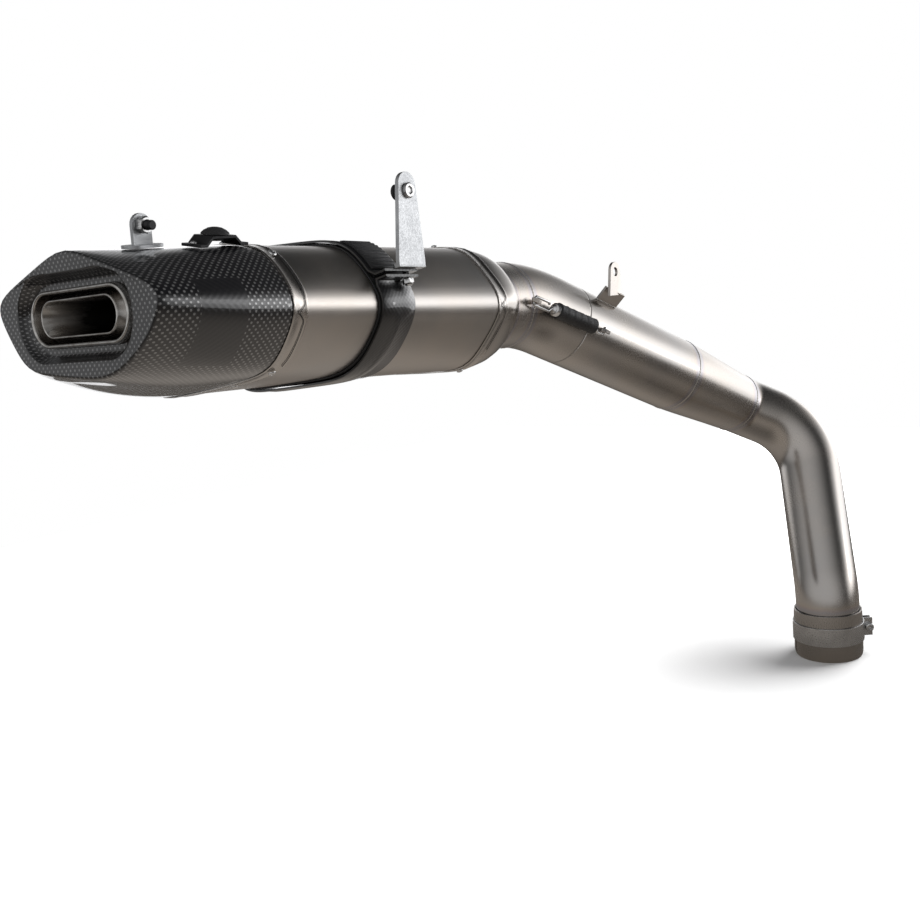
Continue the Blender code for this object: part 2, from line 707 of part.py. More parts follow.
def make_clamp():
    lining_low, lining_high = GAP, GAP + LINING_WALL
    edge = CLAMP_WIDTH * LINING_SHARE / 2
    finish(ring_piece("clamp_lining", lining_low, lining_high, (CLAMP_Y - edge, CLAMP_Y + edge)), "rubber")
    strap_low = lining_high + STRAP_FIT
    strap_high = strap_low + STRAP_WALL

    def local(s, h):
        point = ear_point(s, h)
        return (point.x - MUFFLER_X, point.z - MUFFLER_Z)

    half = EAR_GAP / 2
    start, root = strap_low + STRAP_FIT, strap_high + STRAP_WALL / 2
    shape = [local(start, half), *open_outline(strap_low, half * 1.4), local(start, -half),
             local(EAR_LENGTH, -half), local(EAR_LENGTH, -EAR_TOP), local(root, -EAR_TOP),
             *reversed(open_outline(strap_high, EAR_TOP * 1.1)),
             local(root, EAR_TOP), local(EAR_LENGTH, EAR_TOP), local(EAR_LENGTH, half)]
    strap = finish(flat_piece("clamp_strap", shape, CLAMP_WIDTH, across(CLAMP_Y)), "carbon")
    reach = 2 * EAR_TOP
    hole = turned("ear_hole", [(0, reach), (EAR_HOLE_R, reach), (EAR_HOLE_R, -reach), (0, -reach)],
                  frame_matrix(ear_point(EAR_BOLT_S, 0), EAR_UP, EAR_OUT), 12, collection=CUTTERS)
    boolean(strap, hole, "DIFFERENCE")


def make_hanger():
    """An L bracket on the ears, with the frame's bolt and its rubber collar at the top."""
    foot_low = EAR_TOP + GAP
    middle_h = foot_low + HANGER_WALL / 2
    foot_place = frame_matrix(ear_point(0, middle_h), EAR_UP, EAR_OUT)
    foot_end = EAR_LENGTH + HANGER_WALL
    foot_start = EAR_BOLT_S - 0.0042
    half, heel_half, cheek = HANGER_FOOT / 2, HANGER_FOOT * 0.24, 0.0045
    shape = [(foot_start, -heel_half), (foot_end - cheek, -half), (foot_end, -half), (foot_end, half),
             (foot_end - cheek, half), (foot_start, heel_half)]
    bolt_hole = circle(EAR_BOLT_S, 0, EAR_HOLE_R, 12)
    foot = flat_piece("hanger_foot", shape, HANGER_WALL, foot_place, [bolt_hole])
    base = ear_point(foot_end - HANGER_WALL / 2, middle_h)
    top = base.z + HANGER_HEIGHT
    bore_z = top - HANGER_HOLE_DROP
    plate_place = Matrix.Translation((base.x, HANGER_Y, 0)) @ Matrix((
        (0, 0, 1, 0), (1, 0, 0, 0), (0, 1, 0, 0), (0, 0, 0, 1)))
    heel = base.z - HANGER_WALL * 0.4
    shoulder = base.z + HANGER_WALL
    shape = [(-half, heel), (half, heel), (half, shoulder)]
    shape += arc(0, top, HANGER_TOP_R, 12, 168, 13) + [(-half, shoulder)]
    plate = flat_piece("hanger_bracket", shape, HANGER_WALL, plate_place, [circle(0, bore_z, HANGER_HOLE_R)])
    boolean(plate, foot, "UNION")
    finish(plate, "aluminium")

    half_wall = HANGER_WALL / 2 + GAP
    sideways, forward = Vector((1, 0, 0)), Vector((0, 1, 0))
    face = Vector((base.x + half_wall, HANGER_Y, bore_z))
    bolt("hanger_bolt", frame_matrix(face, sideways, forward), 0.0051, 0.0020, 0.0034, 0.0098)
    back = Vector((base.x - half_wall, HANGER_Y, bore_z))
    collar = [(0.0052, 0.0072), (0.0052, 0), (0.0037, 0), (0.0037, 0.0072)]
    finish(turned("hanger_collar", collar, frame_matrix(back, -sideways, forward), closed=True), "rubber")

    seat = foot_low + HANGER_WALL + GAP
    bolt("ear_bolt", frame_matrix(ear_point(EAR_BOLT_S, seat), EAR_UP, EAR_OUT), 0.0040, 0.0036, 0.0025,
         seat + EAR_TOP + 0.0050)
    nut("ear_nut", frame_matrix(ear_point(EAR_BOLT_S, -EAR_TOP - GAP), -EAR_UP, EAR_OUT), 0.007, 0.0034,
        EAR_HOLE_R)


# ---------------------------------------------------------------- brackets on the end cap
def cap_top(x, y):
    """Height of the end cap's skin above a point of its plan, and its upward normal."""
    ring = cap_ring(cap_share(y), 0.0, y)
    for a, b in zip(ring, ring[1:] + ring[:1]):
        if a.z > MUFFLER_Z and min(a.x, b.x) <= x <= max(a.x, b.x) and a.x != b.x:
            share = (x - a.x) / (b.x - a.x)
            edge = (a - b) if a.x > b.x else (b - a)
            return a.z + (b.z - a.z) * share, Vector((-edge.z, 0, edge.x)).normalized()
    raise ValueError("that place is off the end cap")


def seat_frame(x, y, length):
    """A frame resting on the cap's skin: X forward, Z off the skin, its plane clear of it all along."""
    heights = [cap_top(x, y + end)[0] for end in (-length / 2, 0, length / 2)]
    slope = Vector((0, length, heights[2] - heights[0])).normalized()
    rise = max(0.0, heights[1] - (heights[0] + heights[2]) / 2)
    normal = cap_top(x, y)[1]
    normal = (normal - slope * slope.dot(normal)).normalized()
    middle = Vector((x, y, (heights[0] + heights[2]) / 2))
    return frame_matrix(middle + normal * (rise + SEAT_GAP), normal, slope)


def make_rear_bracket():
    thick, tongue_h, tongue_w, hole_r = 0.0025, 0.013, 0.013, 0.0032
    base_h = 0.0018
    seat = seat_frame(MUFFLER_X + REAR_BRACKET_X, FACE_Y + REAR_BRACKET_FROM_FACE, REAR_BASE_LENGTH)
    end_r = REAR_BASE_WIDTH / 2
    ends = REAR_BASE_LENGTH / 2 - end_r
    shape = arc(ends, 0, end_r, -90, 90, 7) + arc(-ends, 0, end_r, 90, 270, 7)
    base = flat_piece("rear_bracket_base", shape, base_h, seat @ Matrix.Translation((0, 0, base_h / 2)))
    upright = seat @ Matrix.Rotation(math.pi / 2, 4, "X")
    shape = [(-tongue_w / 2, base_h / 2), (tongue_w / 2, base_h / 2)]
    shape += arc(0, tongue_h, tongue_w / 2, 0, 180, 11)
    tongue = flat_piece("rear_bracket", shape, thick, upright, [circle(0, tongue_h, hole_r, 12)])
    boolean(tongue, base, "UNION")
    finish(tongue, "aluminium")
    centre = upright @ Vector((0, tongue_h, 0))
    outward = (upright.to_3x3() @ Vector((0, 0, 1))).normalized()
    step = outward * (thick / 2 + GAP)
    upward = Vector((0, 0, 1))
    bolt("rear_bracket_bolt", frame_matrix(centre - step, -outward, upward), 0.0045, 0.0030, 0.0028, 0.0130,
         "black_steel")
    nut("rear_bracket_nut", frame_matrix(centre + step, outward, upward), 0.009, 0.0050, 0.0031)


def make_bridge():
    """A raised strap with a rubber grommet, the seat for a body panel's pin."""
    y = REAR_BAND_Y - BAND_WIDTH / 2 - BRIDGE_FROM_BAND
    width, thick, rise, foot, ramp = 0.017, 0.0018, 0.0045, 0.0055, 0.0045
    seat = seat_frame(MUFFLER_X + BRIDGE_X, y, BRIDGE_LENGTH)
    half = BRIDGE_LENGTH / 2
    lean = thick * 0.4
    right = [(half - foot - ramp, rise), (half - foot, 0), (half, 0), (half, thick),
             (half - foot + lean, thick), (half - foot - ramp + lean, rise + thick)]
    left = [(-x, z) for x, z in reversed(right)]
    bridge = flat_piece("bridge_bracket", right + left, width, seat @ Matrix.Rotation(math.pi / 2, 4, "X"))
    bore_r, neck_r, neck_h = 0.0052, 0.0048, 0.0016
    hole = turned("bridge_hole", [(0, 4 * rise), (bore_r, 4 * rise), (bore_r, rise / 2), (0, rise / 2)],
                  seat, collection=CUTTERS)
    boolean(bridge, hole, "DIFFERENCE")
    finish(bridge, "black_steel")
    top = rise + thick + GAP
    flange, dome = 0.0083, 0.0042
    profile = [(0, top + dome), (flange * 0.45, top + dome * 0.92), (flange * 0.8, top + dome * 0.62),
               (flange, top + dome * 0.25), (flange, top), (neck_r, top), (neck_r, rise - neck_h),
               (0, rise - neck_h)]
    finish(turned("bridge_grommet", profile, seat, 20), "rubber")
    for number, side in enumerate((-1, 1), 1):
        spot = seat @ Vector((side * (half - (foot - lean) / 2), 0, thick + GAP))
        rivet(f"bridge_rivet_{number}", spot, seat.to_3x3() @ Vector((0, 0, 1)), 0.0020, 0.0010)


def place_muffler():
    """Move every piece made so far, and its cutters, from the muffler's frame to its place."""
    bpy.context.view_layer.update()
    for thing in (*PARTS.objects, *CUTTERS.objects):
        thing.matrix_world = MUFFLER_MATRIX @ thing.matrix_world


# ---------------------------------------------------------------- link pipe
REDUCER_START = SLIP_CENTRE + SLIP_AXIS * LINK_LENGTH
REDUCER_END = REDUCER_START + SLIP_AXIS * REDUCER_LENGTH
PIPE_BOTTOM = SOCKET_HEIGHT - PIPE_DEPTH


def make_link():
    spigot_r = LINK_OD / 2 - TUBE_WALL - SLIP_CLEARANCE
    chamfer = 0.0006
    reach = SPIGOT_LENGTH - 0.003
    stations = ((-reach, spigot_r - chamfer), (-reach + 0.003, spigot_r), (GAP / 2, spigot_r),
                (GAP / 2 + chamfer, LINK_OD / 2), (LINK_LENGTH - GAP / 2, LINK_OD / 2))
    route = [SLIP_CENTRE + SLIP_AXIS * s for s, _ in stations]
    finish(pipe("link_pipe", route, [r for _, r in stations], TUBE_WALL), "titanium")

    ends = GAP / 2 / REDUCER_LENGTH
    shares = ((ends, 0), (0.12, 0.06), (0.5, 0.5), (0.88, 0.94), (1 - ends, 1))
    route = [REDUCER_START + SLIP_AXIS * (REDUCER_LENGTH * along) for along, _ in shares]
    radii = [(LINK_OD + (PIPE_OD - LINK_OD) * share) / 2 for _, share in shares]
    finish(pipe("reducer_cone", route, radii, TUBE_WALL), "titanium")

    corners = [REDUCER_END + SLIP_AXIS * (GAP / 2), REDUCER_END + SLIP_AXIS * LEAD_LENGTH, UPPER_BEND,
               Vector((0, 0, LOWER_BEND_HEIGHT)), Vector((0, 0, PIPE_BOTTOM))]
    route = filleted(corners, [LEAD_BEND_RADIUS, UPPER_BEND_RADIUS, LOWER_BEND_RADIUS])
    finish(pipe("down_pipe", route, [PIPE_OD / 2] * len(route), TUBE_WALL), "titanium")


def radial(angle):
    """Unit vector off the slip axis: 0 degrees is the muffler's outer side, 90 its top."""
    side = Vector((SLIP_AXIS.y, -SLIP_AXIS.x, 0)).normalized()
    up = side.cross(SLIP_AXIS)
    turn = math.radians(angle)
    return side * math.cos(turn) + up * math.sin(turn)


def make_link_bracket():
    """A strip that stands off the link pipe, with an upright tab for the frame."""
    outward = radial(LINK_BRACKET_ANGLE)
    root = SLIP_CENTRE + SLIP_AXIS * LINK_BRACKET_S + outward * (LINK_OD / 2 + GAP)
    thick, reach, width, hole_r, tab_r = 0.0025, 0.013, 0.024, 0.0038, 0.0085
    half = width / 2
    base_place = frame_matrix(root + outward * (reach / 2), outward.cross(SLIP_AXIS), SLIP_AXIS)
    corners = [(-half, -reach / 2), (half, -reach / 2), (half, reach / 2), (-half, reach / 2)]
    base = flat_piece("link_bracket_base", corners, thick, base_place)
    tab_place = Matrix.Translation(root + outward * reach) @ Matrix((
        (0, 0, 1, 0), (1, 0, 0, 0), (0, 1, 0, 0), (0, 0, 0, 1)))
    heel = 0.004
    shape = [(-half, -heel), (half * 0.8, -heel)] + arc(0, LINK_BRACKET_HEIGHT, tab_r, 0, 180, 13)
    tab = flat_piece("link_bracket", shape, thick, tab_place,
                     [circle(0, LINK_BRACKET_HEIGHT, hole_r, 14)])
    boolean(tab, base, "UNION")
    finish(tab, "titanium")


# ---------------------------------------------------------------- slip joint springs
def tube_axis(point):
    """The nearest point on the inlet tube's and link pipe's centre line."""
    best = None
    route = [MUFFLER_MATRIX @ p for p in INLET_ROUTE] + [REDUCER_START]
    for a, b in zip(route, route[1:]):
        share = max(0.0, min(1.0, (point - a).dot(b - a) / (b - a).length_squared))
        centre = a.lerp(b, share)
        if best is None or (point - centre).length < (point - best).length:
            best = centre
    return best


def over_tube(point, height):
    """The place `height` above the tube's skin that `point` is over, and the outward direction."""
    centre = tube_axis(point)
    out = (point - centre).normalized()
    return centre + out * (LINK_OD / 2 + height), out


def hook_plate(name, place, start, reach, way):
    """A welded tongue, `start` from the frame's origin and `reach` under it, that hooks over a wire."""
    lip, over = 0.0062, LOOP_WIRE / 2 + GAP
    near, far = way * start, way * (start + POST_WIDTH)
    shape = [(near, -reach), (far, -reach), (far, over), (far + way * lip, over),
             (far + way * lip, over + 0.0018), (far, over + 0.0028), (near, over + 0.0012)]
    upright = place @ Matrix(((0, 1, 0, 0), (0, 0, 1, 0), (1, 0, 0, 0), (0, 0, 0, 1)))
    finish(flat_piece(name, shape, HOOK_THICK, upright), "titanium")


def make_springs():
    """Each spring hooks on the link pipe; its loop, round a tongue on the inlet tube, draws out of it."""
    wire = LOOP_WIRE / 2
    side = HOOK_THICK / 2 + wire + 0.0008
    ahead = LINK_HOOK + POST_WIDTH + wire + GAP
    back = MUFFLER_HOOK + POST_WIDTH + wire + GAP
    outer = SPRING_OD / 2
    bore = outer - SPRING_WIRE
    for number, (angle, height) in enumerate(SPRINGS, 1):
        start, _ = over_tube(SLIP_CENTRE + SLIP_AXIS * SPRING_START + radial(angle) * LINK_OD, height)
        end, out = over_tube(SLIP_CENTRE + SLIP_AXIS * SPRING_END + radial(angle) * LINK_OD, height)
        along = (end - start).normalized()
        length = (end - start).length
        place = frame_matrix(start, along, out)
        mouth, edge, web = wire + 0.0010, 0.001, 0.003
        shell = [(0, length), (outer - edge, length), (outer, length - edge), (outer, edge),
                 (outer - edge, 0), (mouth, 0), (mouth, web), (bore, web), (bore, length - web),
                 (0, length - web)]
        spring = make_mesh(turned(f"spring_{number}", shell, place, 14))
        path = [(0, length - web / 2), (0, length + 0.0015), (side, length + 0.0045),
                (side, length + ahead - 0.0018), (side * 0.5, length + ahead), (-side, length + ahead)]
        hook = rod(f"spring_hook_{number}", [place @ Vector((0, y, z)) for y, z in path], wire)
        boolean(spring, hook, "UNION")
        finish(spring, "steel")

        inner = outer + GAP
        cover = [(inner + SPRING_SLEEVE_WALL, length - 0.002), (inner + SPRING_SLEEVE_WALL, 0.004),
                 (inner, 0.004), (inner, length - 0.002)]
        finish(turned(f"spring_sleeve_{number}", cover, place, closed=True), "rubber")

        path = [(0, SLIP_TRAVEL + 2 * web), (0, -0.002), (side, -0.0050), (side, -back + 0.0012),
                (side * 0.6, -back), (-side * 0.6, -back), (-side, -back + 0.0012), (-side, -0.0072),
                (-side * 0.6, -0.0056)]
        loop = rod(f"spring_loop_{number}", [place @ Vector((0, y, z)) for y, z in path], wire)
        finish(loop, "steel")

        hooks = (("link_hook", length, LINK_HOOK, 1), ("muffler_hook", 0, MUFFLER_HOOK, -1))
        for name, base, post, way in hooks:
            spot = place @ Matrix.Translation((0, 0, base))
            feet = [spot @ Vector((0, 0, way * (post + step))) for step in (0, POST_WIDTH)]
            reach = min((foot - tube_axis(foot)).length for foot in feet) - LINK_OD / 2 - HOOK_SEAT
            hook_plate(f"{name}_{number}", spot, post, reach, way)


# ---------------------------------------------------------------- inlet clamp
def make_inlet():
    """The slotted socket that slides over the header's outlet, and the band clamp that closes it."""
    outer, inner = SOCKET_OD / 2, SOCKET_OD / 2 - SOCKET_WALL
    neck = PIPE_OD / 2 + GAP
    lip, top = 0.004, SOCKET_HEIGHT + 0.004
    profile = [(neck + SOCKET_WALL, top), (outer, SOCKET_HEIGHT - 0.006), (outer, lip),
               (outer - 0.0012, 0), (inner - 0.0006, 0), (inner, lip), (inner, PIPE_BOTTOM - 0.002),
               (neck, PIPE_BOTTOM + 0.001), (neck, top)]
    socket = turned("inlet_socket", profile, Matrix.Identity(4), 36, closed=True)
    slots = bmesh.new()
    bmesh.ops.create_cube(slots, size=1.0, matrix=Matrix.Rotation(math.radians(LUG_ANGLE), 4, "Z")
                          @ Matrix.Diagonal((SOCKET_OD * 1.5, SLOT_WIDTH, SLOT_HEIGHT * 2, 1)))
    boolean(socket, from_bmesh("socket_slots", slots, CUTTERS), "DIFFERENCE")
    finish(socket, "titanium")

    strap_in = outer + GAP
    strap_out = strap_in + STRAP_THICK
    half, lug = LUG_GAP / 2, 0.0016
    start_in = math.degrees(math.asin(half / strap_in))
    start_out = math.degrees(math.asin((half + lug) / strap_out))
    end = strap_out + LUG_LENGTH
    shape = arc(0, 0, strap_in, start_in, 360 - start_in, 33)
    shape += [(end, -half), (end, -half - lug)]
    shape += arc(0, 0, strap_out, 360 - start_out, start_out, 33)
    shape += [(end, half + lug), (end, half)]
    middle = STRAP_BOTTOM + STRAP_WIDTH / 2
    place = Matrix.Translation((0, 0, middle)) @ Matrix.Rotation(math.radians(LUG_ANGLE), 4, "Z")
    strap = flat_piece("band_clamp", shape, STRAP_WIDTH, place)
    bolt_x = strap_out + LUG_LENGTH * 0.55
    way, upward = place.to_3x3() @ Vector((0, -1, 0)), Vector((0, 0, 1))
    hole_r, reach = 0.0029, 4 * half
    hole = turned("lug_hole", [(0, reach), (hole_r, reach), (hole_r, -reach), (0, -reach)],
                  frame_matrix(place @ Vector((bolt_x, 0, 0)), way, upward), 12, collection=CUTTERS)
    boolean(strap, hole, "DIFFERENCE")
    finish(strap, "steel")
    seat = half + lug + GAP
    bolt("clamp_bolt", frame_matrix(place @ Vector((bolt_x, -seat, 0)), way, upward), 0.0042, 0.0040, 0.0025,
         2 * seat + 0.0065)
    nut("clamp_nut", frame_matrix(place @ Vector((bolt_x, seat, 0)), -way, upward), 0.008, 0.0045, 0.0028)


# ---------------------------------------------------------------- joints
def hang_on(name, origin, along, pieces):
    """Parent moving pieces, where they lie, to an empty on their joint's axis."""
    pivot = add_object(name, None)
    side = Vector((0, 1, 0)) if abs(along.y) < 0.7 else Vector((1, 0, 0))
    pivot.matrix_world = frame_matrix(origin, along, side)
    bpy.context.view_layer.update()
    for piece in pieces:
        world = piece.matrix_world.copy()
        piece.parent = pivot
        piece.matrix_parent_inverse = pivot.matrix_world.inverted()
        piece.matrix_world = world
    return pivot


# ---------------------------------------------------------------- build
make_sleeve()
make_bands()
make_end_cap()
OUTLET_END_Y = make_outlet()
make_cone()
INLET_ROUTE = make_inlet_tube()
CORE_ROUTE = make_core(OUTLET_END_Y)
make_bulkheads_and_packing(CORE_ROUTE)
make_rivets()
make_clamp()
make_hanger()
make_rear_bracket()
make_bridge()
place_muffler()
MUFFLER_PIECES = list(PARTS.objects)
make_link()
make_link_bracket()
make_springs()
make_inlet()

HANGER_PIECES = [PARTS.objects[name] for name in ("hanger_bracket", "hanger_bolt", "hanger_collar")]
CLAMP_PIECES = [PARTS.objects[name] for name in ("band_clamp", "clamp_bolt", "clamp_nut")]
MUFFLER_NAMES = ("spring_loop", "muffler_hook")
MUFFLER_PIECES += [thing for thing in PARTS.objects if thing.name.startswith(MUFFLER_NAMES)]
MUFFLER_PIECES = [thing for thing in MUFFLER_PIECES if thing not in HANGER_PIECES]
SLIP = hang_on("muffler_slip", SLIP_CENTRE, SLIP_AXIS, MUFFLER_PIECES)
EAR_AXIS = MUFFLER_MATRIX.to_3x3() @ EAR_UP
SWIVEL = hang_on("hanger_swivel", MUFFLER_MATRIX @ ear_point(EAR_BOLT_S, 0), EAR_AXIS, HANGER_PIECES)
hang_on("inlet_clamp_turn", Vector((0, 0, 0)), Vector((0, 0, 1)), CLAMP_PIECES)
SWIVEL.parent = SLIP
SWIVEL.matrix_parent_inverse = SLIP.matrix_world.inverted()
bpy.context.view_layer.update()
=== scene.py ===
"""The finished look of the racing exhaust: shells, welds, springs and fasteners over the CAD frame."""
import math

import bmesh
import bpy
from mathutils import Matrix, Vector


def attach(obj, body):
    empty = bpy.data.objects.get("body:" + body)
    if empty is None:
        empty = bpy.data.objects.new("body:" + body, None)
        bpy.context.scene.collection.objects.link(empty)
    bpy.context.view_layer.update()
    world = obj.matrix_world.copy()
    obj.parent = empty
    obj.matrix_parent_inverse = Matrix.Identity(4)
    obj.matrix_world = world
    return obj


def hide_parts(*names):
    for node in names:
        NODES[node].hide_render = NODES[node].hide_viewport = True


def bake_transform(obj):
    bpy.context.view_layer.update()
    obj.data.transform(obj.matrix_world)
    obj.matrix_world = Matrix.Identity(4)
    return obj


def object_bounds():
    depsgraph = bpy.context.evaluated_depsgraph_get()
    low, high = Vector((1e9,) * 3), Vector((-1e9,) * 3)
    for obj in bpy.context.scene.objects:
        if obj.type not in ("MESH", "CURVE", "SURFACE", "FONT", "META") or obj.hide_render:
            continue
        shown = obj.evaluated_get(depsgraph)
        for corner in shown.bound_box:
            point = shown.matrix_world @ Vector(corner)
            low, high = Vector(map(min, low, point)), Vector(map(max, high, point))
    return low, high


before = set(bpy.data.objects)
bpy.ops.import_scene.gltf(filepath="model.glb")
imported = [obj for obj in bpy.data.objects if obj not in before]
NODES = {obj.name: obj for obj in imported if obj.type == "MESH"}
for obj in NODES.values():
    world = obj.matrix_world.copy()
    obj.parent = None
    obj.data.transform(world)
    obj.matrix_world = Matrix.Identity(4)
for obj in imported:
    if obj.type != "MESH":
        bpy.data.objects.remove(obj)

CAD_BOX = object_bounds()

# ---------------------------------------------------------------- sizes, as the CAD has them
GAP = 0.0003
PIPE_OD, LINK_OD, TUBE_WALL = 0.060, 0.070, 0.0012
SPIGOT_LENGTH = 0.023
SLIP_CENTRE = Vector((-0.1587, -0.2002, 0.3457))
SLIP_AXIS = Vector((0.243, 0.890, -0.390)).normalized()
LINK_LENGTH, REDUCER_LENGTH, LEAD_LENGTH = 0.152, 0.100, 0.014
UPPER_BEND = Vector((-0.044, 0.080, 0.209))
LOWER_BEND_HEIGHT = 0.061
BEND_RADII = (0.035, 0.060, 0.054)
MUFFLER_PITCH = 1.6
BODY_WIDTH, REAR_HEIGHT, FRONT_HEIGHT = 0.176, 0.0945, 0.0965
SHELL_WALL, SLEEVE_LENGTH, BAND_WIDTH, BAND_WALL = 0.0010, 0.208, 0.012, 0.0008
CAP_LENGTH, CAP_WALL, CONE_LENGTH = 0.089, 0.0022, 0.027
INLET_STRAIGHT, INLET_REACH, INLET_BEND_TANGENT = 0.027, 0.022, 0.029
INLET_OFFSET_X, INLET_OFFSET_Z = 0.042, 0.0015
FACE_WIDTH, FACE_HEIGHT, FACE_SHIFT, FACE_RISE = 0.158, 0.074, 0.0015, 0.0065
OUTLET_WIDTH, OUTLET_HEIGHT, OUTLET_RECESS, OUTLET_LENGTH = 0.099, 0.034, 0.004, 0.070
OUTLET_DROP = 0.0005
INSERT_WIDTH, INSERT_HEIGHT, INSERT_RECESS, INSERT_LENGTH = 0.077, 0.0225, 0.0005, 0.060
FLANGE_DEPTH = 0.009
CLAMP_WIDTH, CLAMP_FROM_FRONT, HANGER_FORWARD = 0.032, 0.1225, 0.009
LINING_WALL, LINING_SHARE, STRAP_WALL, STRAP_FIT = 0.0010, 1.08, 0.0016, 0.0011
EAR_DIRECTION, EAR_TILT, EAR_LENGTH, EAR_GAP = 14.0, 12.0, 0.0150, 0.0022
SOCKET_HEIGHT, PIPE_DEPTH = 0.042, 0.016
PIPE_BOTTOM = SOCKET_HEIGHT - PIPE_DEPTH
FRONT_SIDES = ((90, 48), (42, 76), (-42, 75), (-90, 49), (-138, 75), (138, 76))
REAR_SIDES = ((88, 47), (42, 79), (-40, 74), (-83, 43), (-140, 74), (138, 79))
FACE_SIDES = ((70, 40), (110, 42), (180, 82), (-144, 60), (-95, 36), (-60, 49), (-12, 76))
CORNER_SHARPNESS = 9
FLAT_SHARE = 0.625
FINE = 64                       # points round a shell
TUBE_FINE = 72

INLET_CORNER = SLIP_CENTRE - SLIP_AXIS * (SPIGOT_LENGTH + INLET_BEND_TANGENT)
MUFFLER_MATRIX = Matrix.Translation(INLET_CORNER) @ Matrix.Rotation(math.radians(-MUFFLER_PITCH), 4, "X")
MUFFLER_X, MUFFLER_Z = -INLET_OFFSET_X, -INLET_OFFSET_Z
CONE_FRONT_Y = -INLET_BEND_TANGENT - INLET_STRAIGHT
FRONT_BAND_Y = CONE_FRONT_Y - CONE_LENGTH - BAND_WIDTH / 2
SLEEVE_FRONT_Y = FRONT_BAND_Y - GAP / 2
SLEEVE_REAR_Y = SLEEVE_FRONT_Y - SLEEVE_LENGTH
REAR_BAND_Y = SLEEVE_REAR_Y - GAP / 2
FACE_Y = REAR_BAND_Y - BAND_WIDTH / 2 - CAP_LENGTH
CAP_FRONT_Y = REAR_BAND_Y - GAP / 2
OUTLET_Z = MUFFLER_Z + FACE_RISE - OUTLET_DROP
CLAMP_Y = SLEEVE_FRONT_Y - CLAMP_FROM_FRONT
HANGER_Y = CLAMP_Y + HANGER_FORWARD
REDUCER_START = SLIP_CENTRE + SLIP_AXIS * LINK_LENGTH
REDUCER_END = REDUCER_START + SLIP_AXIS * REDUCER_LENGTH
EAR_OUT = Vector((math.cos(math.radians(EAR_TILT)), 0, math.sin(math.radians(EAR_TILT))))
EAR_UP = Vector((-EAR_OUT.z, 0, EAR_OUT.x))

# ---------------------------------------------------------------- sizes of the look alone, lights and camera
EDGE_TURNS = (12, 26, 40, 54, 68, 80, 90)       # degrees round the end cap's rolled edge
SPRING_WIRE_RADIUS = 0.00085
BADGE_FROM_BAND = -0.053
BADGE_LENGTH = 0.030
BADGE_GIRTH = -0.006
BADGE_HEIGHT = 0.060
FACE_CLOTH = 0.44               # keeps the flat face's cloth clear of the badge
# Painted light: the floor's glow to the camera right by the inlet; it rises to full white farther out, so
# only the inlet's shadow shows.
FLOOR_GLOW_NEAR = 0.02
ROOM_FRONT = (0.05, -1.0, 0.10)
ROOM_DARK, ROOM_LIGHT = 0.035, 0.70
KEY_WAY, KEY_LIGHT = (0.50, 0.85, 0.10), 2.4
# Centre of the painted pool of light that the floor shows in reflections, under the muffler.
UNDER_MUFFLER = (-0.25, -0.35, 0.0)
BACKDROP_WAY, BACKDROP_LIGHT = (-0.62, 0.78, 0.12), 1.5
HORIZON = ((0.0, 0.70), (0.04, 0.95), (0.12, 1.0), (0.25, 1.0), (0.34, 0.42), (0.46, 0.20), (0.55, 0.03),
           (0.66, 0.0))
CAMERA_LENS = 39.13
CAMERA_TURNS = (38.0, 8.6, 5.0)                 # azimuth, pitch and roll, in degrees
CAMERA_PLACE = (0.3091, -0.9608, 0.3674)


